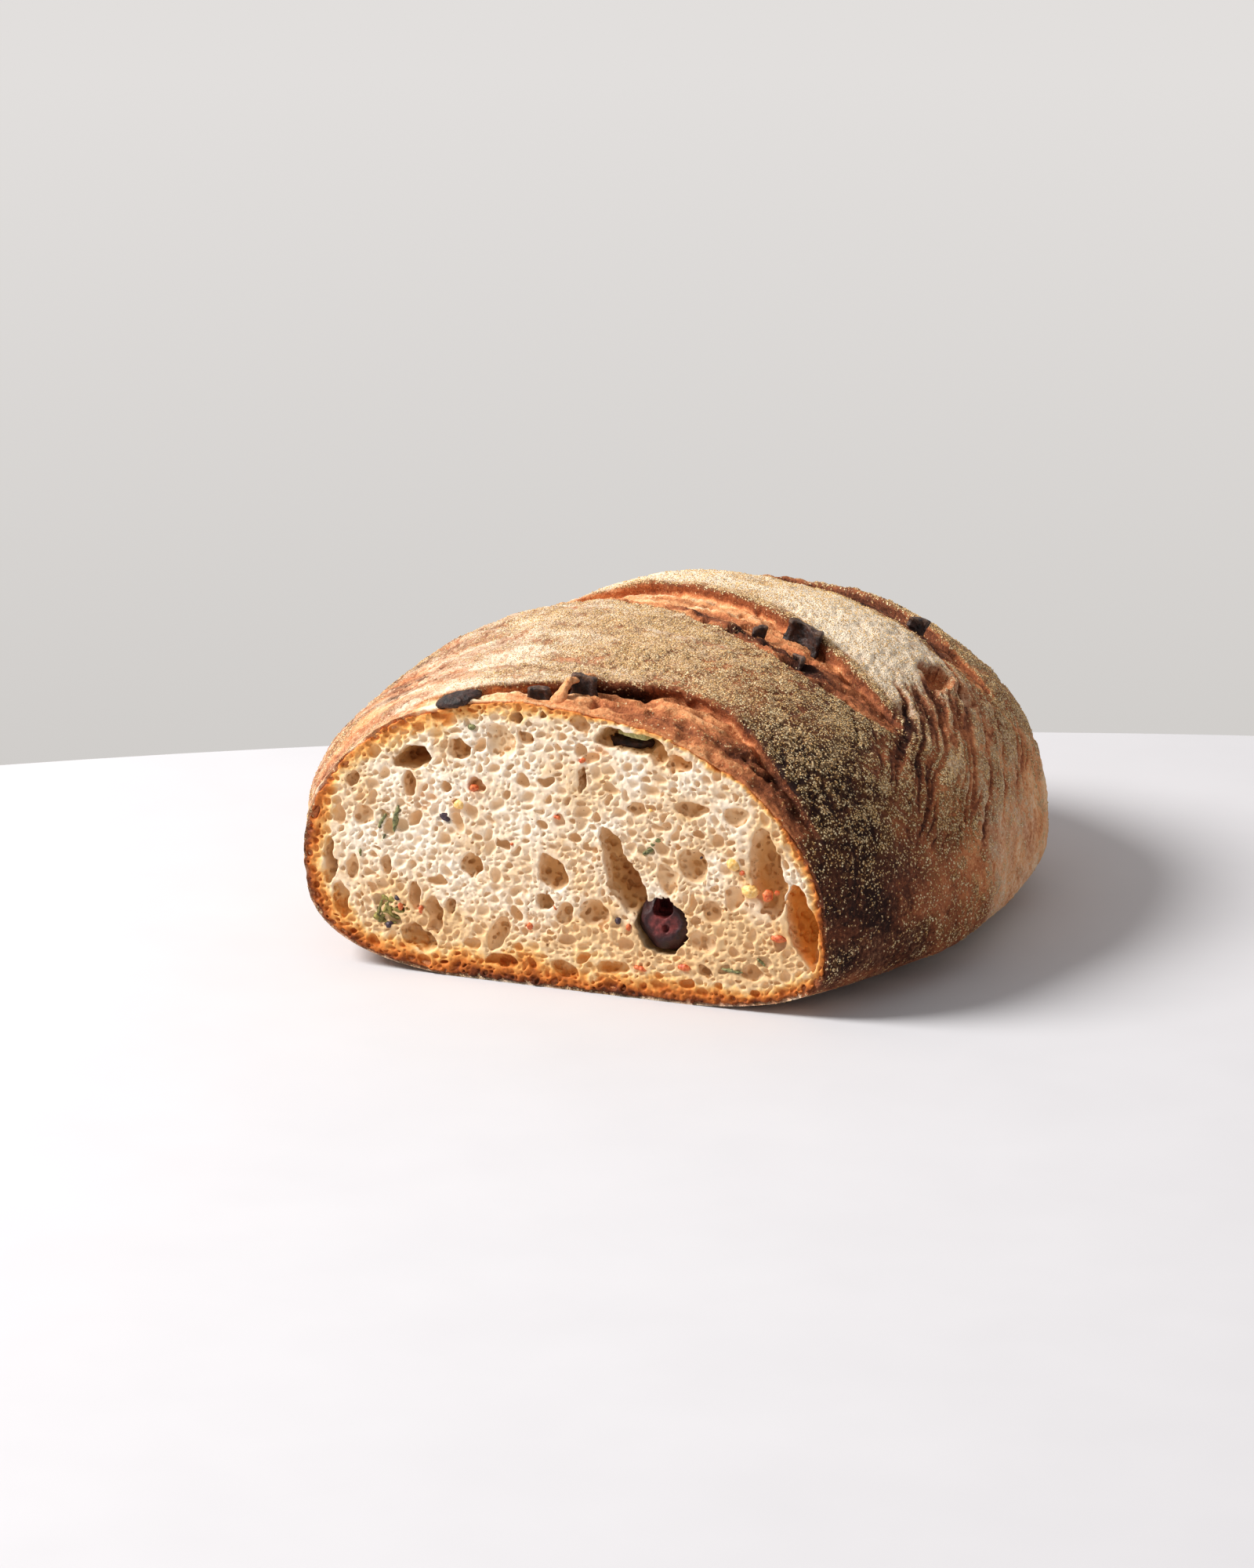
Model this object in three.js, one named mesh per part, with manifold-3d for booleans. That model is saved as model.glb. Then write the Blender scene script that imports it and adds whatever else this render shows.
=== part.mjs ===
// A rustic loaf of bread with olives and herbs, cut straight through near one end.
// Units are millimetres, +Z is up, the cut face looks along -Y and the loaf runs back along +Y.
// A point of the crust is named by its depth behind the cut face and its angle round the section:
// 0 is the loaf's right side, 90 its top, 180 its left side and -90 its base.

import * as THREE from 'three';
import { mergeVertices } from 'three/addons/utils/BufferGeometryUtils.js';
import Module from 'manifold-3d';

const wasm = await Module();
wasm.setup();

// Driving dimensions of the loaf.
const HALF_LENGTH = 130.4; // of the whole loaf, before it was cut
const WIDEST_DEPTH = 77.5; // of the widest section, behind the cut face
const HALF_WIDTH = 97.7;
const HEIGHT = 88.7;
const LEFT_SHOULDER = 33.5; // height of the widest point on the left side
const RIGHT_SHOULDER = 19.4; // the right side bulges lower down
const CROWN_LEAN = 10.6; // how far the crown stands left of the middle
const SHEAR = 0.072; // sideways drift for each millimetre of depth
const PLAN_POWER = 1.95; // roundness of the outline seen from above
const PROFILE_POWER = 2.7; // and of the crown line seen from the side
const END_POWER = 5; // and of the underside at the far end
const LEFT_POWER = 1.755; // roundness of the upper section, left
const RIGHT_POWER = 2.44; // and right, where it is boxier
const BASE_POWER = 3.33; // and of the lower section
const REST_DEPTH = 1.2; // how much the base is pressed flat

// The mesh of the crust.
const FINE_STEP = 5.4; // degrees, over the sides and the top
const COARSE_STEP = 12; // degrees, round the base
const FINE_FROM = -18;
const FINE_TO = 198;

// The scores. Each opens between a front edge and a rear lip, from its low to its high angle.
const SCORE_DEPTH = 4.2;
const SCORE_LIP = 1.1; // how proud the rear lip stands
const SCORE_UNDERCUT = 1.3; // how far the lip overhangs the floor
const FLOOR_AT_FRONT = 0.45; // share of the depth that a score has behind its front edge
const FLOOR_AT_CUT = 0.3; // and that the first score, which the knife went through, has at the cut
const BAND_CROWN = 0.8; // how far the crust bulges between two scores
const CLOSED_WIDTH = 1.2; // what is left of the score's width in the mesh past its ends
const FIRST_SCORE = { low: 22, high: 122, depth: 3.4 };
const SECOND_SCORE = { low: 37, high: 131, halfWidth: 12, depth: SCORE_DEPTH };
const THIRD_SCORE = { low: 31, high: 130, halfWidth: 12.5, depth: SCORE_DEPTH };

// Toppings and holes keep this gap to the dough around them.
const GAP = 0.35;

const OLIVE_SKIN = new THREE.MeshStandardMaterial({ color: 0x2a2226, roughness: 0.45, metalness: 0 });
const OLIVE_FLESH = new THREE.MeshStandardMaterial({ color: 0x3d2430, roughness: 0.4, metalness: 0 });
const CRUST = new THREE.MeshStandardMaterial({ color: 0xa8693f, roughness: 0.85, metalness: 0 });
const HERB = new THREE.MeshStandardMaterial({ color: 0x4d5a35, roughness: 0.8, metalness: 0 });

const radians = THREE.MathUtils.degToRad;
const lerp = THREE.MathUtils.lerp;
const smooth = THREE.MathUtils.smoothstep;

function signedPower(value, power) {
  return Math.sign(value) * Math.abs(value) ** power;
}

// ---- the loaf's smooth form ----

// The point of the undisturbed crust at a depth and an angle.
function formPoint(depth, angle) {
  const along = Math.min(Math.abs((depth - WIDEST_DEPTH) / HALF_LENGTH), 1);
  const plan = (1 - along ** PLAN_POWER) ** (1 / PLAN_POWER);
  const profile = (1 - along ** PROFILE_POWER) ** (1 / PROFILE_POWER);
  const underside = (1 - along ** END_POWER) ** (1 / END_POWER);
  const across = Math.cos(radians(angle));
  const upwards = Math.sin(radians(angle));
  const leftness = 0.5 - 0.5 * Math.tanh(2.5 * across);
  const sideHeight = lerp(RIGHT_SHOULDER, LEFT_SHOULDER, leftness);
  const middleHeight = (RIGHT_SHOULDER + LEFT_SHOULDER) / 2;
  const shoulder = lerp(middleHeight, sideHeight, Math.sqrt(profile));
  const upperPower = lerp(RIGHT_POWER, LEFT_POWER, leftness);
  const power = upwards >= 0 ? upperPower : BASE_POWER;
  const rise = Math.abs(upwards) ** (2 / power);
  const top = lerp(shoulder, HEIGHT, profile);
  const raised = upwards >= 0 ? lerp(shoulder, top, rise) : shoulder * (1 - underside * rise);
  const pressed = Math.max(0, raised - REST_DEPTH * Math.exp(-raised / (5 * REST_DEPTH)));
  const lean = upwards >= 0 ? -CROWN_LEAN * upwards ** 1.5 * plan ** 0.3 : 0;
  const x = HALF_WIDTH * plan * signedPower(across, 2 / power) + lean + SHEAR * (depth - WIDEST_DEPTH);
  return new THREE.Vector3(x, depth, pressed);
}

function formNormal(depth, angle) {
  const round = formPoint(depth, angle + 1).sub(formPoint(depth, angle - 1));
  const back = formPoint(depth + 1, angle).sub(formPoint(Math.max(depth - 1, 0), angle));
  return back.cross(round).normalize();
}

// Broad swells all over, and folds that fan down the right flank behind the first band.
function unevenness(depth, angle) {
  const swell = 0.9 * Math.sin(depth / 19 + angle / 31) + 0.7 * Math.sin(depth / 11 - angle / 17 + 2);
  const flank = smooth(angle, -5, 15) * (1 - smooth(angle, 34, 50));
  const stretch = smooth(depth, 35, 60) * (1 - smooth(depth, 125, 150));
  const folds = 0.9 * Math.sin(depth / 3.4 - angle / 16 + 1.5 * Math.sin(angle / 9));
  return swell + flank * stretch * folds;
}

// Relief fades out at the base and at the far end, so that the loaf keeps its flat rest.
function reliefFade(depth, angle) {
  const sides = smooth(angle, -40, 0) * (1 - smooth(angle, 180, 220));
  const end = 1 - smooth(depth, WIDEST_DEPTH + HALF_LENGTH - 25, WIDEST_DEPTH + HALF_LENGTH);
  return sides * end;
}

function crustPoint(depth, angle, relief, forward = 0) {
  const fade = reliefFade(depth, angle);
  const cutEdge = smooth(depth, 0, 8); // the cut outline itself stays on the smooth form
  const height = fade * (relief + cutEdge * unevenness(depth, angle));
  const point = formPoint(depth, angle).addScaledVector(formNormal(depth, angle), height);
  point.y = depth === 0 ? 0 : Math.max(point.y - forward * fade, 0.5);
  return point;
}

// ---- the scores ----

// 0 outside the score's ends, 1 where it gapes widest.
function opening(score, angle) {
  const share = THREE.MathUtils.clamp((angle - score.low) / (score.high - score.low), 0, 1);
  return Math.sin(Math.PI * share) ** 0.7;
}

function firstLip(angle) {
  const spread = angle < 72 ? 26 : 21;
  return 4.5 + 18 * Math.exp(-(((angle - 72) / spread) ** 2));
}

function secondMiddle(angle) {
  return 62 + 39 * smooth(angle, 42, 105) - 18 * smooth(angle, 112, 131);
}

function thirdMiddle(angle) {
  return 124 + 42 * smooth(angle, 30, 95) - 10 * smooth(angle, 105, 130);
}

function edgeOf(score, middle, side) {
  return (angle) => middle(angle) + side * (CLOSED_WIDTH + score.halfWidth * opening(score, angle));
}

const cutPlane = () => 0;
const secondFront = edgeOf(SECOND_SCORE, secondMiddle, -1);
const secondBack = edgeOf(SECOND_SCORE, secondMiddle, 1);
const thirdFront = edgeOf(THIRD_SCORE, thirdMiddle, -1);
const thirdBack = edgeOf(THIRD_SCORE, thirdMiddle, 1);
const farEnd = () => WIDEST_DEPTH + HALF_LENGTH;

// A row of mesh points: its depth, its relief and how far it is pulled forward, at each angle.
function bandRows(from, to, count) {
  return Array.from({ length: count }, (_, i) => {
    const share = (i + 1) / (count + 1);
    const crown = Math.sin(Math.PI * share);
    return {
      depthAt: (angle) => lerp(from(angle) + CLOSED_WIDTH, to(angle), share),
      reliefAt: (angle) => BAND_CROWN * crown * opening(SECOND_SCORE, angle),
      forwardAt: () => 0,
    };
  });
}

function scoreRows(score, from, to, count, startsAtCut) {
  const floorShape = (share) => {
    const front = startsAtCut ? FLOOR_AT_CUT : FLOOR_AT_FRONT * smooth(share, 0, 0.22);
    const rest = 1 - (startsAtCut ? FLOOR_AT_CUT : FLOOR_AT_FRONT);
    return front + rest * share ** 3;
  };
  const skipped = startsAtCut ? 1 : 0; // the cut's own row stands for the first one
  return Array.from({ length: count }, (_, i) => {
    const share = (i + skipped) / (count - 1 + skipped);
    return {
      depthAt: (angle) => lerp(from(angle), to(angle) - CLOSED_WIDTH / 2, share),
      reliefAt: (angle) => -score.depth * floorShape(share) * Math.min(1, 1.6 * opening(score, angle)),
      forwardAt: (angle) => -SCORE_UNDERCUT * share ** 4 * opening(score, angle),
    };
  });
}

function lipRow(score, back) {
  return {
    depthAt: (angle) => back(angle) + CLOSED_WIDTH / 2,
    reliefAt: (angle) => SCORE_LIP * opening(score, angle),
    forwardAt: (angle) => SCORE_UNDERCUT * opening(score, angle),
  };
}

// Past the last score the rows crowd towards the far end, which is round.
function endRows(from, count) {
  return Array.from({ length: count }, (_, i) => {
    const share = Math.sin(((i + 1) / (count + 1)) * (Math.PI / 2));
    return {
      depthAt: (angle) => lerp(from(angle) + CLOSED_WIDTH, farEnd(), share),
      reliefAt: () => 0,
      forwardAt: () => 0,
    };
  });
}

const CUT_ROW = {
  depthAt: () => 0,
  reliefAt: (angle) => -FLOOR_AT_CUT * FIRST_SCORE.depth * opening(FIRST_SCORE, angle),
  forwardAt: () => 0,
};

const ROWS = [
  CUT_ROW,
  ...scoreRows(FIRST_SCORE, cutPlane, firstLip, 4, true),
  lipRow(FIRST_SCORE, firstLip),
  ...bandRows(firstLip, secondFront, 8),
  ...scoreRows(SECOND_SCORE, secondFront, secondBack, 5, false),
  lipRow(SECOND_SCORE, secondBack),
  ...bandRows(secondBack, thirdFront, 6),
  ...scoreRows(THIRD_SCORE, thirdFront, thirdBack, 5, false),
  lipRow(THIRD_SCORE, thirdBack),
  ...endRows(thirdBack, 7),
];

// ---- the loaf's closed mesh ----

function sectionAngles() {
  const angles = [];
  for (let angle = FINE_FROM; angle <= FINE_TO; angle += FINE_STEP) {
    angles.push(angle);
  }
  for (let angle = FINE_TO + COARSE_STEP; angle < FINE_FROM + 360; angle += COARSE_STEP) {
    angles.push(angle);
  }
  return angles;
}

// Angles past the left side are told as the base's left half, up to 270.
function loafGeometry() {
  const angles = sectionAngles();
  const columns = angles.length;
  const positions = [];
  for (const row of ROWS) {
    for (const angle of angles) {
      const depth = row.depthAt(angle);
      positions.push(...crustPoint(depth, angle, row.reliefAt(angle), row.forwardAt(angle)).toArray());
    }
  }
  const cutCentre = positions.length / 3;
  positions.push(0, 0, HEIGHT / 2);
  const farPoint = cutCentre + 1;
  positions.push(...formPoint(farEnd(), 90).toArray());
  const index = [];
  for (let column = 0; column < columns; column += 1) {
    const next = (column + 1) % columns;
    index.push(cutCentre, column, next);
    for (let row = 0; row + 1 < ROWS.length; row += 1) {
      const near = row * columns;
      const far = near + columns;
      index.push(near + column, far + column, near + next);
      index.push(near + next, far + column, far + next);
    }
    const last = (ROWS.length - 1) * columns;
    index.push(last + column, farPoint, last + next);
  }
  const geometry = new THREE.BufferGeometry();
  geometry.setAttribute('position', new THREE.Float32BufferAttribute(positions, 3));
  geometry.setIndex(index);
  return geometry;
}

// ---- solids ----

function solidOf(geometry) {
  const plain = geometry.clone();
  plain.deleteAttribute('normal');
  plain.deleteAttribute('uv');
  const merged = mergeVertices(plain, 1e-4);
  return new wasm.Manifold(new wasm.Mesh({
    numProp: 3,
    vertProperties: new Float32Array(merged.getAttribute('position').array),
    triVerts: new Uint32Array(merged.index.array),
  }));
}

function geometryOf(solid) {
  const mesh = solid.getMesh();
  const geometry = new THREE.BufferGeometry();
  geometry.setAttribute('position', new THREE.Float32BufferAttribute(mesh.vertProperties, 3));
  geometry.setIndex(Array.from(mesh.triVerts));
  const faceted = geometry.toNonIndexed();
  faceted.computeVertexNormals();
  return faceted;
}

// An egg shape with slightly wavy sides, turned about the depth axis by tilt degrees.
function blob({ x, depth, z, width, deep, height, tilt = 0, wave = 0.06, sides = 9 }, grow = 0) {
  const geometry = new THREE.SphereGeometry(1, sides, Math.round(sides * 0.66));
  const place = geometry.getAttribute('position');
  for (let i = 0; i < place.count; i += 1) {
    const point = new THREE.Vector3().fromBufferAttribute(place, i);
    const dent = 1 + wave * Math.sin(3 * point.x + 2 * point.z + x) * Math.cos(2 * point.y + z);
    point.multiplyScalar(dent);
    point.multiply(new THREE.Vector3(width / 2 + grow, deep / 2 + grow, height / 2 + grow));
    place.setXYZ(i, point.x, point.y, point.z);
  }
  geometry.rotateY(-radians(tilt));
  geometry.translate(x, depth, z);
  return geometry;
}

// ---- the holes of the crumb, as the cut face shows them ----

const CRUMB_HOLES = [
  { x: -50, z: 62, width: 12, height: 6.8, deep: 20, tilt: 20 },
  { x: -36, z: 65.7, width: 5.4, height: 6, deep: 10 },
  { x: -24, z: 69.6, width: 9, height: 10, deep: 3 },
  { x: -50.8, z: 54.8, width: 4, height: 6.2, deep: 9 },
  { x: -31.2, z: 56, width: 4.7, height: 4.5, deep: 6 },
  { x: -68, z: 55, width: 5, height: 3.4, deep: 7, tilt: 35 },
  { x: -65, z: 44, width: 7.1, height: 6.4, deep: 5 },
  { x: -75.4, z: 30, width: 3.8, height: 14, deep: 10 },
  { x: -72.3, z: 18.6, width: 4, height: 9, deep: 9, tilt: 12 },
  { x: -68.5, z: 28, width: 3.8, height: 8, deep: 6 },
  { x: -57.9, z: 30.6, width: 3.6, height: 6, deep: 6 },
  { x: -32.5, z: 33.2, width: 6.6, height: 7, deep: 10 },
  { x: -8.5, z: 33.6, width: 11.4, height: 9, deep: 12, tilt: -35 },
  { x: -10.6, z: 25, width: 6, height: 5, deep: 9, tilt: -25 },
  { x: -44.5, z: 18, width: 4.6, height: 11, deep: 9, tilt: 4 },
  { x: -38.5, z: 19.8, width: 3.3, height: 5.4, deep: 7 },
  { x: -48, z: 10.4, width: 11.4, height: 6.4, deep: 14, tilt: -12 },
  { x: -24.7, z: 13.7, width: 5.6, height: 10.5, deep: 9, tilt: -22 },
  { x: -4, z: 22, width: 5, height: 7.4, deep: 7 },
  { x: 4.3, z: 23, width: 9, height: 8, deep: 8 },
  { x: 11.5, z: 36, width: 9.5, height: 26, deep: 15, tilt: 27, sides: 12 },
  { x: 33, z: 40, width: 8.6, height: 10.5, deep: 10 },
  { x: 38.5, z: 27.3, width: 5, height: 6.6, deep: 7 },
  { x: 32.4, z: 56.1, width: 11, height: 4.6, deep: 7 },
  { x: 45.3, z: 55.7, width: 7.2, height: 5.6, deep: 6 },
  { x: 0.5, z: 61, width: 2.8, height: 7, deep: 8 },
  { x: -0.6, z: 77, width: 6, height: 4, deep: 6 },
  { x: 28.6, z: 68.3, width: 6.8, height: 5, deep: 8 },
  { x: 54.5, z: 40, width: 9.5, height: 26, deep: 13, tilt: 8, sides: 12 },
  { x: 64.5, z: 26, width: 8, height: 25, deep: 18, tilt: 14, sides: 12 },
  { x: 50.3, z: 11, width: 6, height: 4.4, deep: 7 },
];
const LEAF_HOLE = { x: 12.8, z: 72.6, width: 22, height: 7.4, deep: 18, tilt: -3 };

// A torn flap on the shoulder left this three-cornered pit.
const TORN_PIT = { x: 68.5, depth: 101, z: 71, width: 8, deep: 9, height: 7 };

// Bits of pepper, chilli and herb that show in the crumb are fused to it, a little proud of the cut.
const CRUMB_BITS = [
  { x: 50.2, z: 34.2, width: 7.8, height: 4.4, tilt: -5 },
  { x: 44.9, z: 41.2, width: 4.1, height: 4, tilt: -30 },
  { x: 57.9, z: 22, width: 4.5, height: 2.5, tilt: 0 },
  { x: 30.4, z: 10.6, width: 4.2, height: 2.2, tilt: 0 },
  { x: 17.5, z: 8.8, width: 5, height: 2.3, tilt: -10 },
  { x: -7, z: 49.6, width: 2.6, height: 2.4, tilt: 0 },
  { x: 20.5, z: 44, width: 6, height: 2.2, tilt: 40 },
  { x: -55.7, z: 44.5, width: 3, height: 8.6, tilt: -12 },
  { x: -40.5, z: 46.1, width: 3.6, height: 3, tilt: -30 },
];
const BIT_DEEP = 3;
const BIT_PROUD = 0.4;

// ---- olives ----

// The stoned olive that the knife went through: a thick shell round the hole of its stone.
const CUT_OLIVE = {
  x: 23.8, depth: 6.2, z: 22.1,
  width: 16.2, deep: 14, height: 16.8, wave: 0.03, sides: 16,
};
const CUT_OLIVE_SUNK = 0.6; // how far its cut lies behind the crumb's
const STONE_HOLE = { x: 23.7, depth: 2, z: 26.6, width: 6, deep: 15, height: 6.3 };
const SMALL_HOLE = { x: 24.7, depth: 0, z: 20.9, width: 2.3, deep: 5, height: 2.5, sides: 8 };
const RIM_OLIVE = { x: -37.4, depth: 3.4, z: 79.2, width: 13.6, deep: 11, height: 4.4, tilt: 17, sides: 14 };
const HOLE_OLIVE = { x: 11.5, depth: 8, z: 71.3, width: 15, deep: 9, height: 4, sides: 12 };
const HERB_CLUMP = { x: -56.5, depth: 2.4, z: 17.4, width: 11, deep: 6.4, height: 9, wave: 0.16, sides: 14 };

// Slices of stoned olive: a bent strip, as thick as an olive's flesh.
const OLIVE_SLICES = [
  {
    name: 'olive_slash_one_left',
    depth: 9, angle: 89.5, turn: 20, sink: 2.4,
    radius: 5.4, flesh: 2.6, span: 85, tall: 6.4,
  },
  {
    name: 'olive_slash_one_right',
    depth: 14, angle: 82, turn: -8, sink: 2.6,
    radius: 6.4, flesh: 2.8, span: 85, tall: 6.8,
  },
  {
    name: 'olive_slash_two_big',
    depth: 87, angle: 66.5, turn: -25, sink: 2.4,
    radius: 7.6, flesh: 3.4, span: 150, tall: 7.6,
  },
  {
    name: 'olive_slash_two_chunk',
    depth: 79, angle: 73.5, turn: 60, sink: 2,
    radius: 4.2, flesh: 2.4, span: 100, tall: 5,
  },
  {
    name: 'olive_slash_two_sliver',
    depth: 67, angle: 63.5, turn: -48, sink: 1,
    radius: 7, flesh: 1.8, span: 60, tall: 3.8,
  },
  {
    name: 'olive_slash_three',
    depth: 133, angle: 55, turn: 30, sink: 0.6,
    radius: 5, flesh: 3, span: 100, tall: 6,
  },
];

function sliceGeometry({ radius, flesh, span, tall }, grow = 0) {
  const half = radians(span / 2) + grow / radius;
  const outer = radius + grow;
  const inner = radius - flesh - grow;
  const outline = new THREE.Shape();
  outline.absarc(0, 0, outer, Math.PI / 2 - half, Math.PI / 2 + half, false);
  outline.absarc(0, 0, inner, Math.PI / 2 + half, Math.PI / 2 - half, true);
  outline.closePath();
  const geometry = new THREE.ExtrudeGeometry(outline, {
    depth: tall + 2 * grow,
    bevelEnabled: false,
    curveSegments: 7,
    steps: 1,
  });
  return geometry.translate(0, -(radius - flesh / 2), -grow);
}

// Stands a slice on the crust, sunk by its sink and turned about the way up.
function sliceMatrix({ depth, angle, sink, turn }) {
  const up = formNormal(depth, angle);
  const right = formPoint(depth, angle - 1).sub(formPoint(depth, angle + 1)).normalize();
  const back = new THREE.Vector3().crossVectors(up, right);
  const matrix = new THREE.Matrix4().makeBasis(right, back, up);
  matrix.multiply(new THREE.Matrix4().makeRotationZ(radians(turn)));
  const seat = formPoint(depth, angle).addScaledVector(up, -SCORE_DEPTH * 0.6 - sink);
  return matrix.setPosition(seat);
}

// Keeps a topping that the knife met behind the cut plane, or standing a little proud of it.
function trimmedAtCut(solid, proud) {
  const side = 4 * HALF_WIDTH;
  const knife = new THREE.BoxGeometry(side, side, side).translate(0, -side / 2 - proud, 0);
  return solid.subtract(solidOf(knife));
}

function stoned(olive) {
  const opened = olive.subtract(solidOf(blob(STONE_HOLE))).subtract(solidOf(blob(SMALL_HOLE)));
  return trimmedAtCut(opened, -CUT_OLIVE_SUNK);
}

// A leaf: a thin wavy strip, rooted in the back wall of its hole.
const LEAF = { x: 15.7, depth: 6.2, z: 75.1, long: 13.4, broad: 11, thick: 0.9, wave: 0.35, droop: 0.012 };

function leafGeometry({ x, depth, z, long, broad, thick, wave, droop }, grow = 0) {
  const geometry = new THREE.BoxGeometry(long + 2 * grow, broad + 2 * grow, thick + 2 * grow, 10, 4, 1);
  const place = geometry.getAttribute('position');
  for (let i = 0; i < place.count; i += 1) {
    const along = place.getX(i);
    const lift = wave * Math.sin(along / 2.6) - droop * along ** 2;
    place.setZ(i, place.getZ(i) + lift);
  }
  return geometry.translate(x, depth, z);
}

// ---- the part ----

function meshNamed(name, geometry, material) {
  const mesh = new THREE.Mesh(geometry, material);
  mesh.name = name;
  return mesh;
}

// A topping of an egg's shape, with the pocket that it sits in.
function roundTopping(name, shape, material) {
  return { name, material, solid: solidOf(blob(shape)), pocket: solidOf(blob(shape, GAP)) };
}

function leafTopping() {
  return {
    name: 'herb_leaf',
    material: HERB,
    solid: solidOf(leafGeometry(LEAF)),
    pocket: solidOf(leafGeometry(LEAF, GAP)),
  };
}

function sliceTopping(slice) {
  const matrix = sliceMatrix(slice);
  return {
    name: slice.name,
    material: OLIVE_SKIN,
    solid: solidOf(sliceGeometry(slice).applyMatrix4(matrix)),
    pocket: solidOf(sliceGeometry(slice, GAP).applyMatrix4(matrix)),
  };
}

function buildToppings() {
  const cutOlive = roundTopping('olive_crumb', CUT_OLIVE, OLIVE_FLESH);
  cutOlive.solid = stoned(cutOlive.solid);
  const rimOlive = roundTopping('olive_crust_rim', RIM_OLIVE, OLIVE_SKIN);
  rimOlive.solid = trimmedAtCut(rimOlive.solid, 0.4);
  const herbs = roundTopping('herb_clump', HERB_CLUMP, HERB);
  herbs.solid = trimmedAtCut(herbs.solid, 0.6);
  const hidden = roundTopping('olive_leaf_hole', HOLE_OLIVE, OLIVE_SKIN);
  return [cutOlive, rimOlive, herbs, hidden, leafTopping(), ...OLIVE_SLICES.map(sliceTopping)];
}

function buildLoaf(toppings) {
  let loaf = solidOf(loafGeometry());
  for (const hole of [...CRUMB_HOLES, LEAF_HOLE]) {
    loaf = loaf.subtract(solidOf(blob({ depth: 0, ...hole })));
  }
  loaf = loaf.subtract(solidOf(blob({ ...TORN_PIT, sides: 6 })));
  for (const bit of CRUMB_BITS) {
    const depth = BIT_DEEP / 2 - BIT_PROUD;
    loaf = loaf.add(solidOf(blob({ ...bit, depth, deep: BIT_DEEP, sides: 6 })));
  }
  for (const topping of toppings) {
    loaf = loaf.subtract(topping.pocket);
  }
  return loaf;
}

const toppings = buildToppings();
const part = new THREE.Group();
part.add(meshNamed('loaf', geometryOf(buildLoaf(toppings)), CRUST));
for (const topping of toppings) {
  part.add(meshNamed(topping.name, geometryOf(topping.solid), topping.material));
}

// The origin is under the middle of the whole.
const middle = new THREE.Box3().setFromObject(part).getCenter(new THREE.Vector3());
part.position.set(-middle.x, -middle.y, 0);

export default part;
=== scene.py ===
"""A rustic loaf with olives and herbs, cut through near one end, dressed over its solids.

Sizes are millimetres in the loaf's own frame until a mesh is made: x across, depth behind the
cut face and z up. mesh_piece turns them into metres in the part's frame. As in the part, a point
of the crust is named by its depth and its angle round the section, 90 at the top.
"""
import math
from collections import namedtuple
from itertools import product

import bpy
import numpy as np
import openvdb
from mathutils import Matrix, Vector


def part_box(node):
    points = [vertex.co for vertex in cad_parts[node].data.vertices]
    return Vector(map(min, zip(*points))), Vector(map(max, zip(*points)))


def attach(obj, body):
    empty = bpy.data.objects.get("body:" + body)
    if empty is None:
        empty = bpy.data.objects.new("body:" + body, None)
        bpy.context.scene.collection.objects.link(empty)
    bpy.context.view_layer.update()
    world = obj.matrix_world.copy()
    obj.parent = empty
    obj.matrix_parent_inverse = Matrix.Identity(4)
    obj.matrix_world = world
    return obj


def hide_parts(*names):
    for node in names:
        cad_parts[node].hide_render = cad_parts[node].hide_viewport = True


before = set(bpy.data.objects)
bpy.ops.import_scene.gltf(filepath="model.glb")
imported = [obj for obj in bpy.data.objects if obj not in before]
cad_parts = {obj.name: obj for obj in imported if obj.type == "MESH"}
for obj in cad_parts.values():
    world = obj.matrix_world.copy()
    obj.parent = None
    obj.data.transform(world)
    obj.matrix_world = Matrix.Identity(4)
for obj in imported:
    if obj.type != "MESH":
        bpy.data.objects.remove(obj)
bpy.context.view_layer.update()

MM = 0.001

# ---------------------------------------------------------------- the loaf's form, as in the part
HALF_LENGTH = 130.4
WIDEST_DEPTH = 77.5
HALF_WIDTH = 97.7
HEIGHT = 88.7
LEFT_SHOULDER = 33.5
RIGHT_SHOULDER = 19.4
CROWN_LEAN = 10.6
SHEAR = 0.072
PLAN_POWER = 1.95
PROFILE_POWER = 2.7
END_POWER = 5
LEFT_POWER = 1.755
RIGHT_POWER = 2.44
BASE_POWER = 3.33
REST_DEPTH = 1.2
FAR_END = WIDEST_DEPTH + HALF_LENGTH
LEAF_X = 15.7

# The loaf's own frame in the part's frame: the leaf is centred on its x, the far end is the box's.
leaf_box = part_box("herb_leaf")
MIDDLE_X = LEAF_X - (leaf_box[0].x + leaf_box[1].x) / 2 / MM
MIDDLE_Y = FAR_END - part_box("loaf")[1].y / MM


def smooth(value, low, high):
    t = np.clip((value - low) / (high - low), 0, 1)
    return t * t * (3 - 2 * t)


def between(value, low, low_end, high, high_end):
    """Rises from 0 to 1 between the first two values and falls back between the last two."""
    return smooth(value, low, low_end) * (1 - smooth(value, high, high_end))


def lerp(a, b, t):
    return a + (b - a) * t


def unit(vectors):
    return vectors / (np.linalg.norm(vectors, axis=-1, keepdims=True) + 1e-9)


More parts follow.
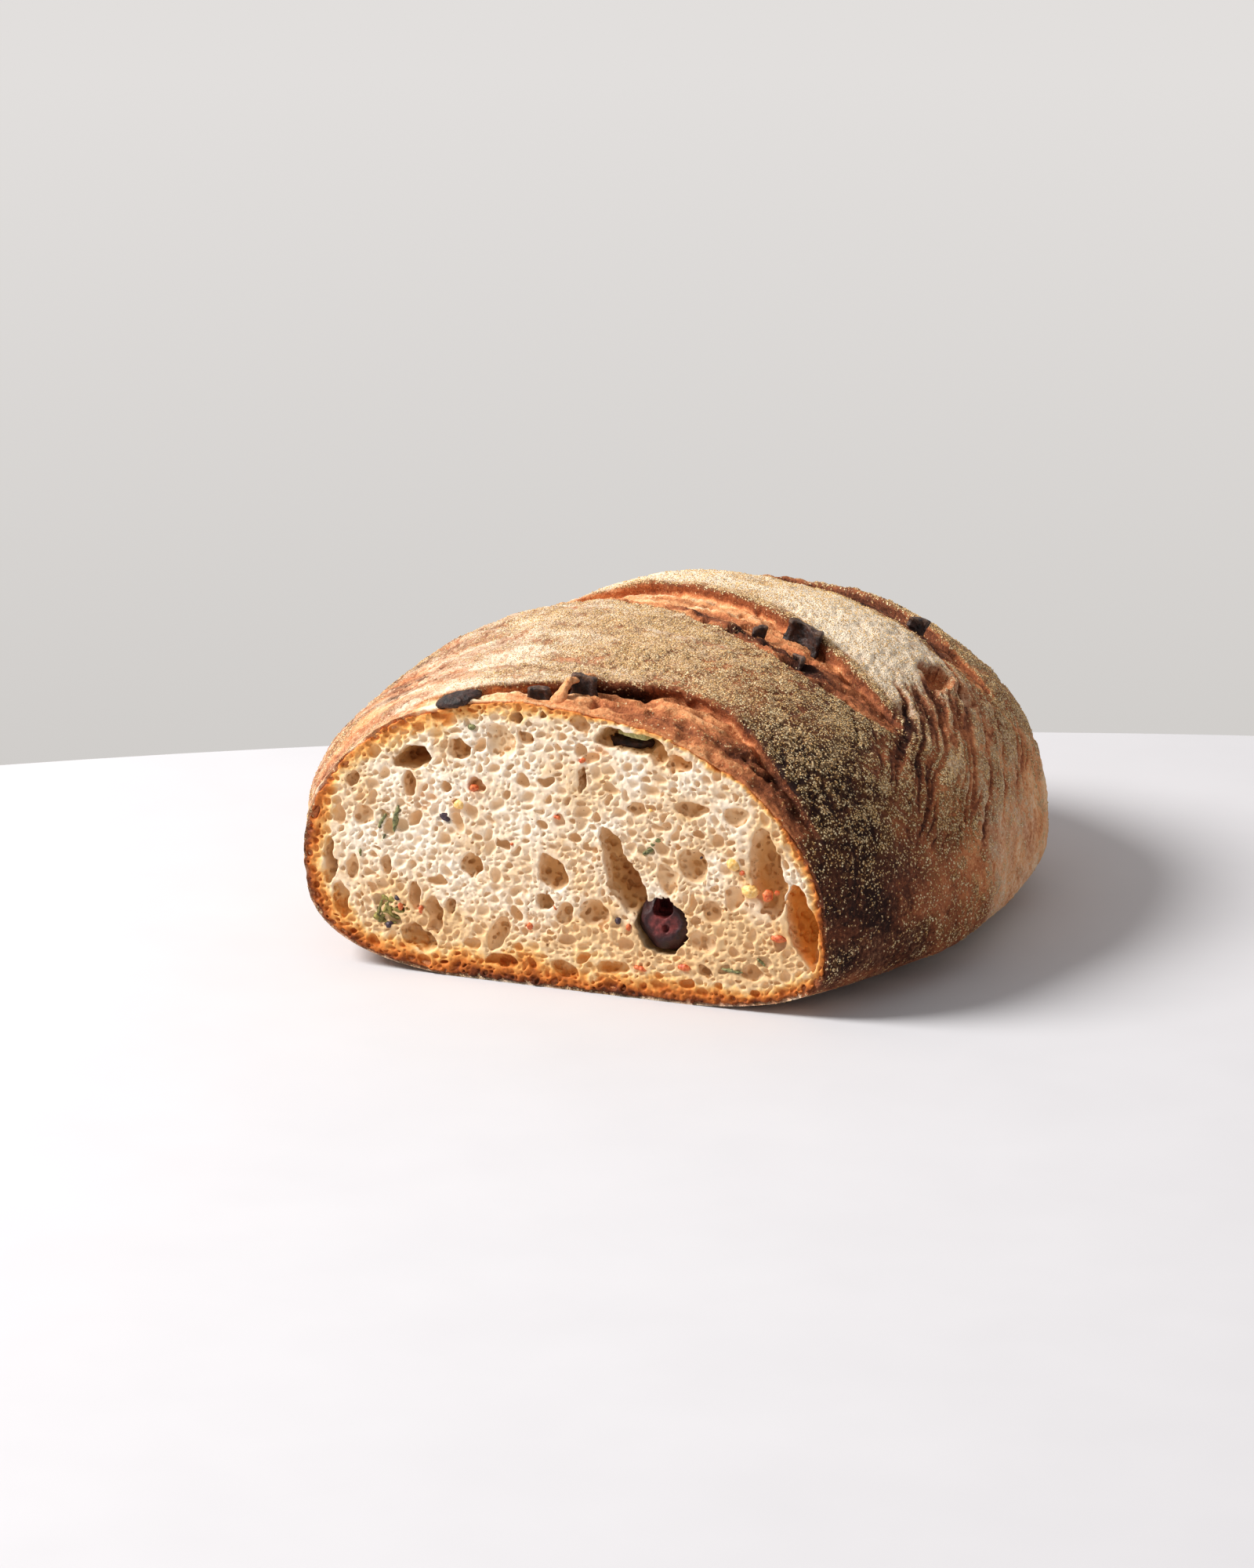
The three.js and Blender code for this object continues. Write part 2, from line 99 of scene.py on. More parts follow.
def form_point(depth, angle):
    """Points of the undisturbed crust, from arrays of depths and of angles in degrees."""
    depth, angle = np.broadcast_arrays(np.asarray(depth, float), np.asarray(angle, float))
    along = np.minimum(np.abs((depth - WIDEST_DEPTH) / HALF_LENGTH), 1)
    plan = (1 - along ** PLAN_POWER) ** (1 / PLAN_POWER)
    profile = (1 - along ** PROFILE_POWER) ** (1 / PROFILE_POWER)
    underside = (1 - along ** END_POWER) ** (1 / END_POWER)
    across = np.cos(np.radians(angle))
    upwards = np.sin(np.radians(angle))
    upper = upwards >= 0
    leftness = 0.5 - 0.5 * np.tanh(2.5 * across)
    side_height = lerp(RIGHT_SHOULDER, LEFT_SHOULDER, leftness)
    shoulder = lerp((RIGHT_SHOULDER + LEFT_SHOULDER) / 2, side_height, np.sqrt(profile))
    power = np.where(upper, lerp(RIGHT_POWER, LEFT_POWER, leftness), BASE_POWER)
    rise = np.abs(upwards) ** (2 / power)
    top = lerp(shoulder, HEIGHT, profile)
    raised = np.where(upper, lerp(shoulder, top, rise), shoulder * (1 - underside * rise))
    pressed = np.maximum(0, raised - REST_DEPTH * np.exp(-raised / (5 * REST_DEPTH)))
    lean = np.where(upper, -CROWN_LEAN * np.maximum(upwards, 0) ** 1.5 * plan ** 0.3, 0)
    width = HALF_WIDTH * plan * np.sign(across) * np.abs(across) ** (2 / power)
    x = width + lean + SHEAR * (depth - WIDEST_DEPTH)
    return np.stack([x, depth, pressed], -1)


def form_normal(depth, angle):
    around = form_point(depth, angle + 1) - form_point(depth, angle - 1)
    back = form_point(depth + 1, angle) - form_point(np.maximum(depth - 1, 0), angle)
    return unit(np.cross(back, around))


def above_crust(depth, angle, height):
    """A point at a height above a place of the undisturbed crust."""
    return form_point(depth, angle) + height * form_normal(depth, angle)


# ---------------------------------------------------------------- noise
LATTICE_SIDE = 32
LATTICE = np.random.default_rng(11).random((LATTICE_SIDE,) * 3).astype(np.float32) * 2 - 1


def noise(points, size, seed=0):
    """Smooth noise from -1 to 1 with lumps of about the given size."""
    place = np.asarray(points, np.float32) / np.float32(size) + np.float32(seed * 7.31)
    cell = np.floor(place)
    part = place - cell
    part = part * part * (3 - 2 * part)
    low = cell.astype(np.int32) % LATTICE_SIDE
    high = (low + 1) % LATTICE_SIDE
    flat = LATTICE.ravel()

    def along_z(i, j):
        row = (i * LATTICE_SIDE + j) * LATTICE_SIDE
        return lerp(flat[row + low[..., 2]], flat[row + high[..., 2]], part[..., 2])

    def along_y(i):
        return lerp(along_z(i, low[..., 1]), along_z(i, high[..., 1]), part[..., 1])

    return lerp(along_y(low[..., 0]), along_y(high[..., 0]), part[..., 0])


def layered_noise(points, size, layers, seed=0):
    return sum(noise(points, size / 2 ** k, seed + k) / 1.8 ** k for k in range(layers))


def line_noise(across, along, size, stretch, seed):
    """Noise of lines: across them its lumps have this size, along them they are stretched."""
    return noise(np.stack([across, along / stretch, 0 * across], -1), size, seed)


def cell_relief(x, z, size, seed):
    """0 on the walls of a net of irregular cells, up to 1 in the cells, each as deep as it likes."""
    u, v = x / size, z / size
    home_u, home_v = np.floor(u).astype(int), np.floor(v).astype(int)
    nearest = np.full(u.shape, 9.0)
    second = np.full(u.shape, 9.0)
    deep = np.zeros(u.shape)
    for du, dv in product((-1, 0, 1), repeat=2):
        i, j = home_u + du, home_v + dv
        jitter = [LATTICE[i % LATTICE_SIDE, j % LATTICE_SIDE, seed + k] for k in range(3)]
        gap = np.hypot(i + 0.5 + 0.48 * jitter[0] - u, j + 0.5 + 0.48 * jitter[1] - v)
        closer = gap < nearest
        second = np.where(closer, nearest, np.minimum(second, gap))
        deep = np.where(closer, 0.5 + 0.5 * jitter[2], deep)
        nearest = np.minimum(nearest, gap)
    return smooth(second - nearest, 0.0, 0.75) * deep


# ---------------------------------------------------------------- the scores
SCORE_DEPTH = 4.2
SCORE_LIP = 1.1
SCORE_UNDERCUT = 1.3
FLOOR_AT_FRONT = 0.45
FLOOR_AT_CUT = 0.3
BAND_CROWN = 0.8
CLOSED_WIDTH = 1.2
Score = namedtuple("Score", "low high depth half_width", defaults=[0])
FIRST_SCORE = Score(22, 122, 3.4)
SECOND_SCORE = Score(37, 131, SCORE_DEPTH, 12)
THIRD_SCORE = Score(31, 130, SCORE_DEPTH, 12.5)
BEHIND_FIRST = 40  # a depth between the first score and the second


def opening(score, angle):
    """How far a score gapes, from 0 at its ends, which are its lowest and highest angles, to 1."""
    share = np.clip((angle - score.low) / (score.high - score.low), 0, 1)
    return np.abs(np.sin(math.pi * share)) ** 0.7


def first_lip(angle):
    spread = np.where(angle < 72, 26, 21)
    return 4.5 + 18 * np.exp(-(((angle - 72) / spread) ** 2))


def second_middle(angle):
    return 62 + 39 * smooth(angle, 42, 105) - 18 * smooth(angle, 112, 131)


def third_middle(angle):
    return 124 + 42 * smooth(angle, 30, 95) - 10 * smooth(angle, 105, 130)


def edge_of(score, middle, side):
    def edge(angle):
        return middle(angle) + side * (CLOSED_WIDTH + score.half_width * opening(score, angle))
    return edge


second_front = edge_of(SECOND_SCORE, second_middle, -1)
second_back = edge_of(SECOND_SCORE, second_middle, 1)
third_front = edge_of(THIRD_SCORE, third_middle, -1)
third_back = edge_of(THIRD_SCORE, third_middle, 1)

# ---------------------------------------------------------------- making pieces


def mesh_piece(name, points, faces, marks=None, smooth_shading=True):
    """An object from points in millimetres and groups of faces of three or four corners each."""
    world = (np.asarray(points) - np.array([MIDDLE_X, MIDDLE_Y, 0])) * MM
    mesh = bpy.data.meshes.new(name)
    mesh.vertices.add(len(world))
    mesh.vertices.foreach_set("co", world.astype(np.float32).ravel())
    groups = [np.asarray(group) for group in faces if len(group)]
    corners = np.concatenate([group.ravel() for group in groups]).astype(np.int32)
    sizes = np.concatenate([np.full(len(group), group.shape[1]) for group in groups])
    starts = np.concatenate([[0], sizes.cumsum()[:-1]]).astype(np.int32)
    mesh.loops.add(len(corners))
    mesh.loops.foreach_set("vertex_index", corners)
    mesh.polygons.add(len(sizes))
    mesh.polygons.foreach_set("loop_start", starts)
    mesh.polygons.foreach_set("loop_total", sizes.astype(np.int32))
    mesh.polygons.foreach_set("use_smooth", np.full(len(sizes), smooth_shading))
    for key, values in (marks or {}).items():
        layer = mesh.attributes.new(key, "FLOAT", "POINT")
        layer.data.foreach_set("value", np.asarray(values, np.float32).ravel())
    mesh.update(calc_edges=True)
    mesh.validate()
    piece = bpy.data.objects.new(name, mesh)
    bpy.context.scene.collection.objects.link(piece)
    return piece


def polygons_of(field, low, steps):
    """The closed surface where a field of distances, negative inside, changes its sign."""
    grid = openvdb.FloatGrid(9.0)
    grid.copyFromArray(np.ascontiguousarray(field, dtype=np.float32))
    points, triangles, quads = grid.convertToPolygons(isovalue=0.0, adaptivity=0.0)
    return points * np.asarray(steps) + low, [triangles, quads]


def grid_of(*axes):
    """The points of a grid, from the places along each of its axes."""
    return np.stack(np.meshgrid(*axes, indexing="ij"), -1)


def sculpted(name, low, high, step, field, marks=None):
    """A piece from a function that gives each point's distance from the surface."""
    step = step
    axes = [np.arange(low[k] - 2 * step, high[k] + 3 * step, step) for k in range(3)]
    low = np.array([axis[0] for axis in axes])
    points, faces = polygons_of(field(grid_of(*axes)), low, [step] * 3)
    return mesh_piece(name, points, faces, marks(points) if marks else None)


def ellipsoid(points, centre, radii, tilt=0.0):
    """Distance from an ellipsoid turned about the depth axis by tilt degrees, negative inside."""
    q = points - np.asarray(centre)
    c, s = math.cos(math.radians(tilt)), math.sin(math.radians(tilt))
    q = np.stack([c * q[..., 0] + s * q[..., 2], q[..., 1], c * q[..., 2] - s * q[..., 0]], -1)
    radii = np.asarray(radii)
    near = np.sqrt(((q / radii) ** 2).sum(-1)) + 1e-6
    slope = np.sqrt(((q / radii ** 2) ** 2).sum(-1)) + 1e-6
    return near * (near - 1) / slope


Shape = namedtuple("Shape", "x depth z width deep height tilt", defaults=[0])


def middle_of(shape):
    return np.array([shape.x, shape.depth, shape.z])


def radii_of(shape):
    return np.array([shape.width, shape.deep, shape.height]) / 2


def reach_of(shape):
    """The corners of a box that holds a shape and what is added to it."""
    return middle_of(shape) - radii_of(shape) - 1.5, middle_of(shape) + radii_of(shape) + 1.5


def shape_distance(points, shape):
    return ellipsoid(points, middle_of(shape), radii_of(shape), shape.tilt)


def capsule(points, start, end, start_radius, end_radius):
    """Distance from a rod with round ends, negative inside."""
    start, end = np.asarray(start, float), np.asarray(end, float)
    along = end - start
    share = np.clip(((points - start) @ along) / (along @ along), 0, 1)
    gap = points - start - share[..., None] * along
    return np.linalg.norm(gap, axis=-1) - lerp(start_radius, end_radius, share)


def dress(piece, material, slot, *nodes):
    piece.data.materials.append(material)
    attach(piece, "root")
    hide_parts(*nodes)


# ---------------------------------------------------------------- material helpers


def linear(red, green, blue):
    """A colour named by its screen values, 0 to 255, as the shader wants it."""
    def channel(v):
        v /= 255
        return v / 12.92 if v <= 0.04045 else ((v + 0.055) / 1.055) ** 2.4
    return (channel(red), channel(green), channel(blue), 1)


def feed(tree, socket, value):
    """Links a socket to another node's output, or sets it to a constant."""
    if isinstance(value, bpy.types.NodeSocket):
        tree.links.new(value, socket)
    else:
        socket.default_value = value


def add_node(tree, kind, values=None, **properties):
    made = tree.nodes.new("ShaderNode" + kind)
    for key, value in properties.items():
        setattr(made, key, value)
    for key, value in (values or {}).items():
        feed(tree, made.inputs[key], value)
    return made


def mixed(tree, factor, a, b):
    """A colour between two others. The sockets of a mix node's colours are its 6th and 7th."""
    values = {"Factor": factor, 6: a, 7: b}
    return add_node(tree, "Mix", values, data_type="RGBA", clamp_factor=True).outputs[2]


def ranged(tree, value, low, high, to_low, to_high, kind="LINEAR"):
    """The value's range from low to high, stretched to another and cut off at both ends."""
    values = {"Value": value, "From Min": low, "From Max": high, "To Min": to_low,
              "To Max": to_high}
    return add_node(tree, "MapRange", values, interpolation_type=kind).outputs["Result"]


class Shader:
    """A material and short names for its nodes."""

    def __init__(self, name):
        self.material = bpy.data.materials.new(name)
        self.material.use_nodes = True
        self.tree = self.material.node_tree
        self.shader = self.tree.nodes["Principled BSDF"]
        self.place = self.tree.nodes.new("ShaderNodeTexCoord").outputs["Object"]

    def node(self, kind, values=None, **properties):
        return add_node(self.tree, kind, values, **properties)

    def mark(self, name):
        """The values that the mesh holds under a name."""
        return self.node("Attribute", attribute_name=name).outputs["Fac"]

    def noise(self, size_mm, detail=3, roughness=0.55, distortion=0):
        values = {"Vector": self.place, "Scale": 1 / (size_mm * MM), "Detail": detail,
                  "Roughness": roughness, "Distortion": distortion}
        return self.node("TexNoise", values).outputs["Fac"]

    def cells(self, size_mm):
        """A net of cells: the distance from each cell's middle, and a random value of each."""
        made = self.node("TexVoronoi", {"Vector": self.place, "Scale": 1 / (size_mm * MM)})
        chance = self.node("SeparateColor", {"Color": made.outputs["Color"]}).outputs[0]
        return made.outputs["Distance"], chance

    def math(self, operation, a, b=0.0):
        return self.node("Math", {0: a, 1: b}, operation=operation).outputs[0]

    def add(self, *values):
        total = values[0]
        for value in values[1:]:
            total = self.math("ADD", total, value)
        return total

    def times(self, a, b):
        return self.math("MULTIPLY", a, b)

    def swing(self, value, amount):
        """A noise of 0 to 1 as a shift about zero."""
        return self.times(self.math("SUBTRACT", value, 0.5), amount)

    def spread(self, value, low, high, to_low=0.0, to_high=1.0):
        return ranged(self.tree, value, low, high, to_low, to_high, "SMOOTHSTEP")

    def mix(self, factor, a, b):
        return mixed(self.tree, factor, a, b)

    def ramp(self, value, stops):
        made = self.node("ValToRGB", {"Fac": value})
        band = made.color_ramp
        while len(band.elements) < len(stops):
            band.elements.new(0.5)
        for element, (position, colour) in zip(band.elements, stops):
            element.position = position
            element.color = colour
        return made.outputs["Color"]

    def bump(self, height, strength, distance_mm):
        values = {"Height": height, "Strength": strength, "Distance": distance_mm * MM}
        return self.node("Bump", values).outputs["Normal"]

    def set(self, **sockets):
        for key, value in sockets.items():
            feed(self.tree, self.shader.inputs[key.replace("_", " ")], value)
        return self.material


# ---------------------------------------------------------------- materials
BAKED = [
    (0.0, linear(253, 230, 198)),
    (0.16, linear(245, 200, 154)),
    (0.32, linear(228, 158, 106)),
    (0.48, linear(188, 114, 72)),
    (0.64, linear(144, 82, 52)),
    (0.8, linear(90, 48, 31)),
    (1.0, linear(40, 20, 16)),
]
# The dark crust under thin dust; the same colour paints the shade between the grains.
DARK_UNDER_DUST_AND_GRAIN_SHADE = linear(84, 57, 28)
UNDER_DUST_TAN = linear(242, 206, 158)
DUST_LIGHT = linear(255, 236, 192)
DUST_DARK = linear(202, 152, 92)
FLOUR_THIN = linear(230, 186, 146)
FLOUR_THICK = linear(255, 236, 210)


def crust_material():
    s = Shader("crust")
    fine = s.noise(1.0, 3, 0.72)
    bake = s.add(s.mark("bake"), s.swing(fine, -0.6))
    colour = s.ramp(bake, BAKED)
    cover = s.add(s.mark("dust"), s.swing(fine, 1.2))
    under = s.mix(s.spread(cover, 0.45, 1.0), DARK_UNDER_DUST_AND_GRAIN_SHADE, UNDER_DUST_TAN)
    colour = s.mix(s.times(s.spread(cover, 0.15, 0.65), 0.65), colour, under)
    middle, chance = s.cells(0.58)
    grain = s.spread(middle, 0.68, 0.42)
    is_grain = s.spread(s.math("SUBTRACT", cover, chance), -0.03, 0.03)
    tone = s.math("FRACT", s.times(chance, 7.3))
    grain_colour = s.mix(tone, DUST_DARK, DUST_LIGHT)
    colour = s.mix(s.times(s.times(is_grain, grain), 0.9), colour, grain_colour)
    # Between the grains the crust is darkened: painted shade.
    gap = s.times(s.math("SUBTRACT", 1.0, grain), s.spread(cover, 0.1, 0.6, 0.0, 0.6))
    colour = s.mix(gap, colour, DARK_UNDER_DUST_AND_GRAIN_SHADE)
    film = s.add(s.mark("flour"), s.swing(fine, 0.7))
    flour = s.mix(s.spread(film, 0.3, 0.8), FLOUR_THIN, FLOUR_THICK)
    colour = s.mix(s.spread(film, 0.1, 1.0, 0.0, 0.9), colour, flour)
    dusted = s.times(s.math("LESS_THAN", chance, s.mark("dust")), grain)
    return s.set(Base_Color=colour, Roughness=0.75, Specular_IOR_Level=0.14,
                 Normal=s.bump(s.add(fine, s.times(dusted, 0.5)), 1.0, 0.6))


TOASTED = [
    (0.0, linear(72, 32, 12)),
    (0.14, linear(134, 64, 24)),
    (0.34, linear(202, 114, 46)),
    (0.56, linear(234, 166, 90)),
    (0.8, linear(243, 204, 146)),
    (1.0, linear(247, 224, 190)),
]
CRUMB_PALE = linear(253, 236, 214)
CRUMB_TAN = linear(234, 194, 144)
# Colours of the crumb behind the face: the holes' tan walls with painted shade, and deep in the holes
# painted shade alone.
CELL_TAN_AND_SHADE = linear(238, 203, 160)
HOLE_TAN_AND_SHADE = linear(212, 162, 104)
HOLE_PAINTED_SHADE = linear(170, 108, 54)


def crumb_material():
    s = Shader("crumb")
    fine = s.noise(0.9, 3, 0.68)
    toast = s.add(s.mark("toast"), s.swing(fine, 0.35))
    rim = s.ramp(toast, TOASTED)
    pale = s.mix(s.add(s.mark("tan"), s.swing(fine, 0.7)), CRUMB_PALE, CRUMB_TAN)
    # The deeper a surface lies behind the cut, the darker it is: the tan of the walls, and painted
    # shade in the pits and holes.
    sunk = s.mark("sunk")
    pale = s.mix(s.spread(sunk, 0.2, 1.6), pale, CELL_TAN_AND_SHADE)
    pale = s.mix(s.spread(sunk, 1.6, 5.0), pale, HOLE_TAN_AND_SHADE)
    pale = s.mix(s.spread(sunk, 4.5, 10.0), pale, HOLE_PAINTED_SHADE)
    pale = s.mix(s.mark("stain"), pale, linear(240, 160, 64))
    middle, chance = s.cells(0.8)
    fleck = s.times(s.math("LESS_THAN", middle, 0.25), s.math("LESS_THAN", chance, 0.06))
    pale = s.mix(s.times(fleck, 0.5), pale, linear(150, 96, 54))
    colour = s.mix(s.spread(toast, 0.7, 1.1), rim, pale)
    return s.set(Base_Color=colour, Roughness=0.6, Specular_IOR_Level=0.2,
                 Normal=s.bump(fine, 0.6, 0.35))


def grain_material():
    s = Shader("semolina")
    colour = s.mix(s.mark("tone"), linear(198, 150, 84), linear(252, 222, 160))
    colour = s.mix(s.times(s.noise(0.3, 2), 0.4), colour, linear(222, 178, 108))
    return s.set(Base_Color=colour, Roughness=0.55, Specular_IOR_Level=0.4)


def olive_flesh_material():
    """The wet cut flesh of the olive in the crumb."""
    s = Shader("olive_flesh")
    tone = s.spread(s.noise(2.6, 4, 0.62), 0.32, 0.72)
    colour = s.mix(tone, linear(58, 20, 22), linear(134, 58, 56))
    colour = s.mix(s.times(s.mark("skin"), 0.85), colour, linear(30, 14, 18))
    grainy = s.add(s.noise(1.0, 4, 0.65), s.times(s.noise(0.4, 2), 0.3))
    return s.set(Base_Color=colour, Roughness=0.5, Specular_IOR_Level=0.35,
                 Normal=s.bump(grainy, 0.8, 0.35))


def olive_skin_material():
    """Olive baked dry: nearly black, browner and paler where an edge has dried out."""
    s = Shader("olive_skin")
    tone = s.spread(s.noise(2.2, 4, 0.62), 0.35, 0.75)
    colour = s.mix(tone, linear(26, 17, 17), linear(74, 46, 38))
    rim = s.times(s.mark("edge"), s.spread(s.noise(1.2, 3, 0.6), 0.35, 0.6))
    colour = s.mix(s.times(rim, 0.5), colour, linear(122, 90, 68))
    wrinkles = s.add(s.noise(0.9, 4, 0.65, 0.6), s.times(s.noise(0.4, 2), 0.3))
    return s.set(Base_Color=colour, Roughness=0.5, Specular_IOR_Level=0.35,
                 Normal=s.bump(wrinkles, 0.9, 0.4))


def herb_material(name, dark, light):
    s = Shader(name)
    tone = s.spread(s.noise(1.4, 4, 0.6), 0.3, 0.7)
    colour = s.mix(tone, dark, light)
    veins = s.spread(s.noise(0.5, 3, 0.5, 1.0), 0.42, 0.58)
    colour = s.mix(s.times(veins, 0.25), colour, light)
    return s.set(Base_Color=colour, Roughness=0.55, Normal=s.bump(veins, 0.5, 0.15))


def bit_material(name, dark, light, roughness):
    s = Shader(name)
    colour = s.mix(s.spread(s.noise(0.8, 3, 0.6), 0.35, 0.65), dark, light)
    return s.set(Base_Color=colour, Roughness=roughness, Normal=s.bump(s.noise(0.5, 3), 0.6, 0.2))


# ---------------------------------------------------------------- the crust's mesh
FINE = 0.7  # size of the crust's mesh faces where they show
UNDER_STEP = 5.0  # degrees between the columns under the loaf
CUT_EDGE_WIDTH = 2.2  # the crust's cut edge, which the crumb mostly covers
RECESS = 14.5  # depth of the hollow behind the cut edge, which the crumb fills
RECESS_TAPER = 3.6  # how much narrower the hollow is at its back
RECESS_EDGE = 0.6  # how far behind the cut the hollow's mouth is

# Rough lengths along the loaf, which say how many rows of faces each stretch gets.
FIRST_FLOOR_LENGTH = 24
FLOOR_LENGTH = 26
NEAR_BAND_LENGTH = 54
FAR_BAND_LENGTH = 40
END_LENGTH = 50

# The rows of a score's lip: how far each is behind the edge, its share of the score's depth, of
# the lip's height and of its reach forward, and how much it counts as floor and as lip.
LIP_ROWS = [
    (-0.2, 0.6, 0, 0.2, 1, 1),
    (-0.1, 0.25, 0, 0.8, 0.6, 1),
    (0, 0, 0.2, 1, 0.1, 0.8),
    (0.3, 0, 0.8, 0.9, 0, 0.4),
    (0.9, 0, 1, 0.6, 0, 0),
]


def section_angles():
    """Angles round the section, evenly spaced along the crust and wider apart under it."""
    fine = np.linspace(-60, 300, 7201)
    ring = form_point(WIDEST_DEPTH, fine)
    length = np.concatenate([[0], np.linalg.norm(np.diff(ring, axis=0), axis=1).cumsum()])
    upper_from, upper_to = np.interp([-32, 212], fine, length)
    count = round((upper_to - upper_from) / FINE)
    upper = np.interp(np.linspace(upper_from, upper_to, count), length, fine)
    under = np.arange(212, 328, UNDER_STEP)[1:]
    return np.concatenate([upper, under])


def crust_rows(angle):
    """Rows of the crust from the cut to the far end: what each says of the crust, by name."""
    ragged = line_noise(angle, 0 * angle, 3, 1, 3)
    level = np.zeros_like(angle)
    rows = []

    def add_row(depth, relief, forward, floor, lip=0.0):
        rows.append({"depth": depth, "relief": relief, "forward": forward, "floor": floor,
                     "lip": lip + level})

    def add_floor(score, front, back, length, at_cut):
        gape = opening(score, angle)
        sunk = np.minimum(1, 1.6 * gape)
        first = FLOOR_AT_CUT if at_cut else FLOOR_AT_FRONT
        for share in np.linspace(0, 1, round(length / FINE)):
            shape = first * (1 if at_cut else smooth(share, 0, 0.22)) + (1 - first) * share ** 3
            inside = gape * (1 if at_cut else smooth(share, 0, 0.06))
            add_row(lerp(front, back - CLOSED_WIDTH / 2, share), -score.depth * shape * sunk,
                    -SCORE_UNDERCUT * share ** 4 * gape, inside)

    def add_lip(score, back, gaping):
        gape = opening(score, angle)
        height = SCORE_LIP * gape * (1 + 0.5 * ragged)
        reach = SCORE_UNDERCUT * gape * (1 + 0.4 * ragged + gaping)
        edge = back + CLOSED_WIDTH / 2
        for behind, sunk, raised, forward, floor, lip in LIP_ROWS:
            relief = raised * height - sunk * score.depth * gape
            add_row(edge + behind, relief, forward * reach, floor * gape, lip * gape)

    def add_band(front, back, length):
        gape = opening(SECOND_SCORE, angle)
        for share in np.linspace(0, 1, round(length / FINE) + 2)[1:-1]:
            depth = lerp(front + 2 * CLOSED_WIDTH, back, share)
            lip = SCORE_LIP * np.exp(-(depth - front) / 5)
            add_row(depth, (BAND_CROWN * math.sin(math.pi * share) + lip) * gape, level, level)

    add_floor(FIRST_SCORE, level, first_lip(angle), FIRST_FLOOR_LENGTH, True)
    add_lip(FIRST_SCORE, first_lip(angle), 0.9 * gaping_part(angle))
    add_band(first_lip(angle), second_front(angle), NEAR_BAND_LENGTH)
    add_floor(SECOND_SCORE, second_front(angle), second_back(angle), FLOOR_LENGTH, False)
    add_lip(SECOND_SCORE, second_back(angle), level)
    add_band(second_back(angle), third_front(angle), FAR_BAND_LENGTH)
    add_floor(THIRD_SCORE, third_front(angle), third_back(angle), FLOOR_LENGTH, False)
    add_lip(THIRD_SCORE, third_back(angle), level)
    for share in np.linspace(0, 1, round(END_LENGTH / FINE) + 1)[1:-1]:
        past = math.sin(share * math.pi / 2)
        add_row(lerp(third_back(angle) + 2 * CLOSED_WIDTH, FAR_END, past), level, level, level)
    return {key: np.stack([row[key] for row in rows]) for key in rows[0]}


def relief_fade(depth, angle):
    """1 on the top and sides of the loaf, 0 under it and at the far end."""
    return between(angle, -40, 0, 180, 220) * (1 - smooth(depth, FAR_END - 25, FAR_END))


FOLD_SLANT = 1.8  # how many millimetres a fold runs forward for each degree that it descends
FOLD_MIDDLE = 45  # the angle that the folds' places are given at


def fold_relief(points, depth, angle):
    """Sharp folds that run down the right flank, slanting forward, from the ends of the scores."""
    across = depth + FOLD_SLANT * (FOLD_MIDDLE - angle)
    across = across + 3.5 * noise(points, 18, 6) + 0.7 * noise(points, 5, 8)
    wide = np.maximum(0, 1 - np.abs(line_noise(across, angle, 5.6, 5.0, 5)) / 0.15)
    narrow = np.maximum(0, 1 - np.abs(line_noise(across, angle, 2.4, 9.0, 9)) / 0.28)
    where = between(angle, 2, 18, 42, 52) * smooth(depth, 26, 54)
    where = where * (1 - 0.7 * smooth(depth, 115, 150))
    patchy = 0.6 + 0.4 * smooth(noise(points, 18, 11), -0.4, 0.3)
    return (0.9 * wide + 1.1 * narrow) * where * patchy


def crackle(points):
    """1 in the fine cracks between the crust's small lumps."""
    coarse = 1 - smooth(np.abs(layered_noise(points, 6.5, 2, 16)), 0.0, 0.2)
    fine = 1 - smooth(np.abs(layered_noise(points, 3.0, 2, 17)), 0.0, 0.26)
    return np.maximum(coarse, 0.85 * fine) * smooth(noise(points, 11, 18), -0.8, 0.2)


def torn_relief(points):
    """The rough torn dough inside a score: strands along it, and pores."""
    along = points * np.array([0.45, 1.0, 1.0])
    strands = 1 - np.abs(layered_noise(along, 4.2, 3, 21))
    pores = smooth(noise(along, 2.4, 31), 0.42, 0.75)
    return 2.0 * (strands - 0.65) - 2.0 * pores


# Places of the crust: depth, angle, and how far each reaches, in millimetres and in degrees.
Spot = namedtuple("Spot", "depth angle deep wide")
TORN_PIT = Spot(101, 45, 6.2, 4.2)
PIT_FLAP = Spot(103, 40.4, 4.5, 1.1)
CRACK_BELOW_PIT = Spot(105, 37, 5.0, 3.6)
CRACK_BY_SCORE = Spot(73, 42, 4.0, 3.0)
OLIVE_DIP = Spot(5, 88.5, 8, 4)


def spot(depth, angle, place, flare=1.0):
    """A round bump of height 1 at a place of the crust, with its reach in depth flared."""
    away = (depth - place.depth) / (place.deep * flare)
    return np.exp(-(away ** 2 + ((angle - place.angle) / place.wide) ** 2))


def baked_ridge(depth, angle):
    """The strand that stands dark and crisp in the front of the second score."""
    middle = second_front(angle) + 5.5 + 1.5 * np.sin(angle / 7)
    return between(angle, 52, 62, 82, 92) * np.exp(-(((depth - middle) / 3.2) ** 2))


def torn_flap(depth, angle):
    """The pit that a torn flap left on the right shoulder, and the cracks near it."""
    ragged = 0.12 * line_noise(depth, 1.5 * angle, 4, 1, 12)
    flare = 1 + 0.5 * np.clip((TORN_PIT.angle - angle) / 3.5, -1, 1)
    pit = spot(depth, angle, TORN_PIT, flare) + ragged
    crack = spot(depth, angle, CRACK_BELOW_PIT) + 0.7 * spot(depth, angle, CRACK_BY_SCORE)
    return smooth(pit, 0.3, 0.6), smooth(crack + ragged, 0.3, 0.7)


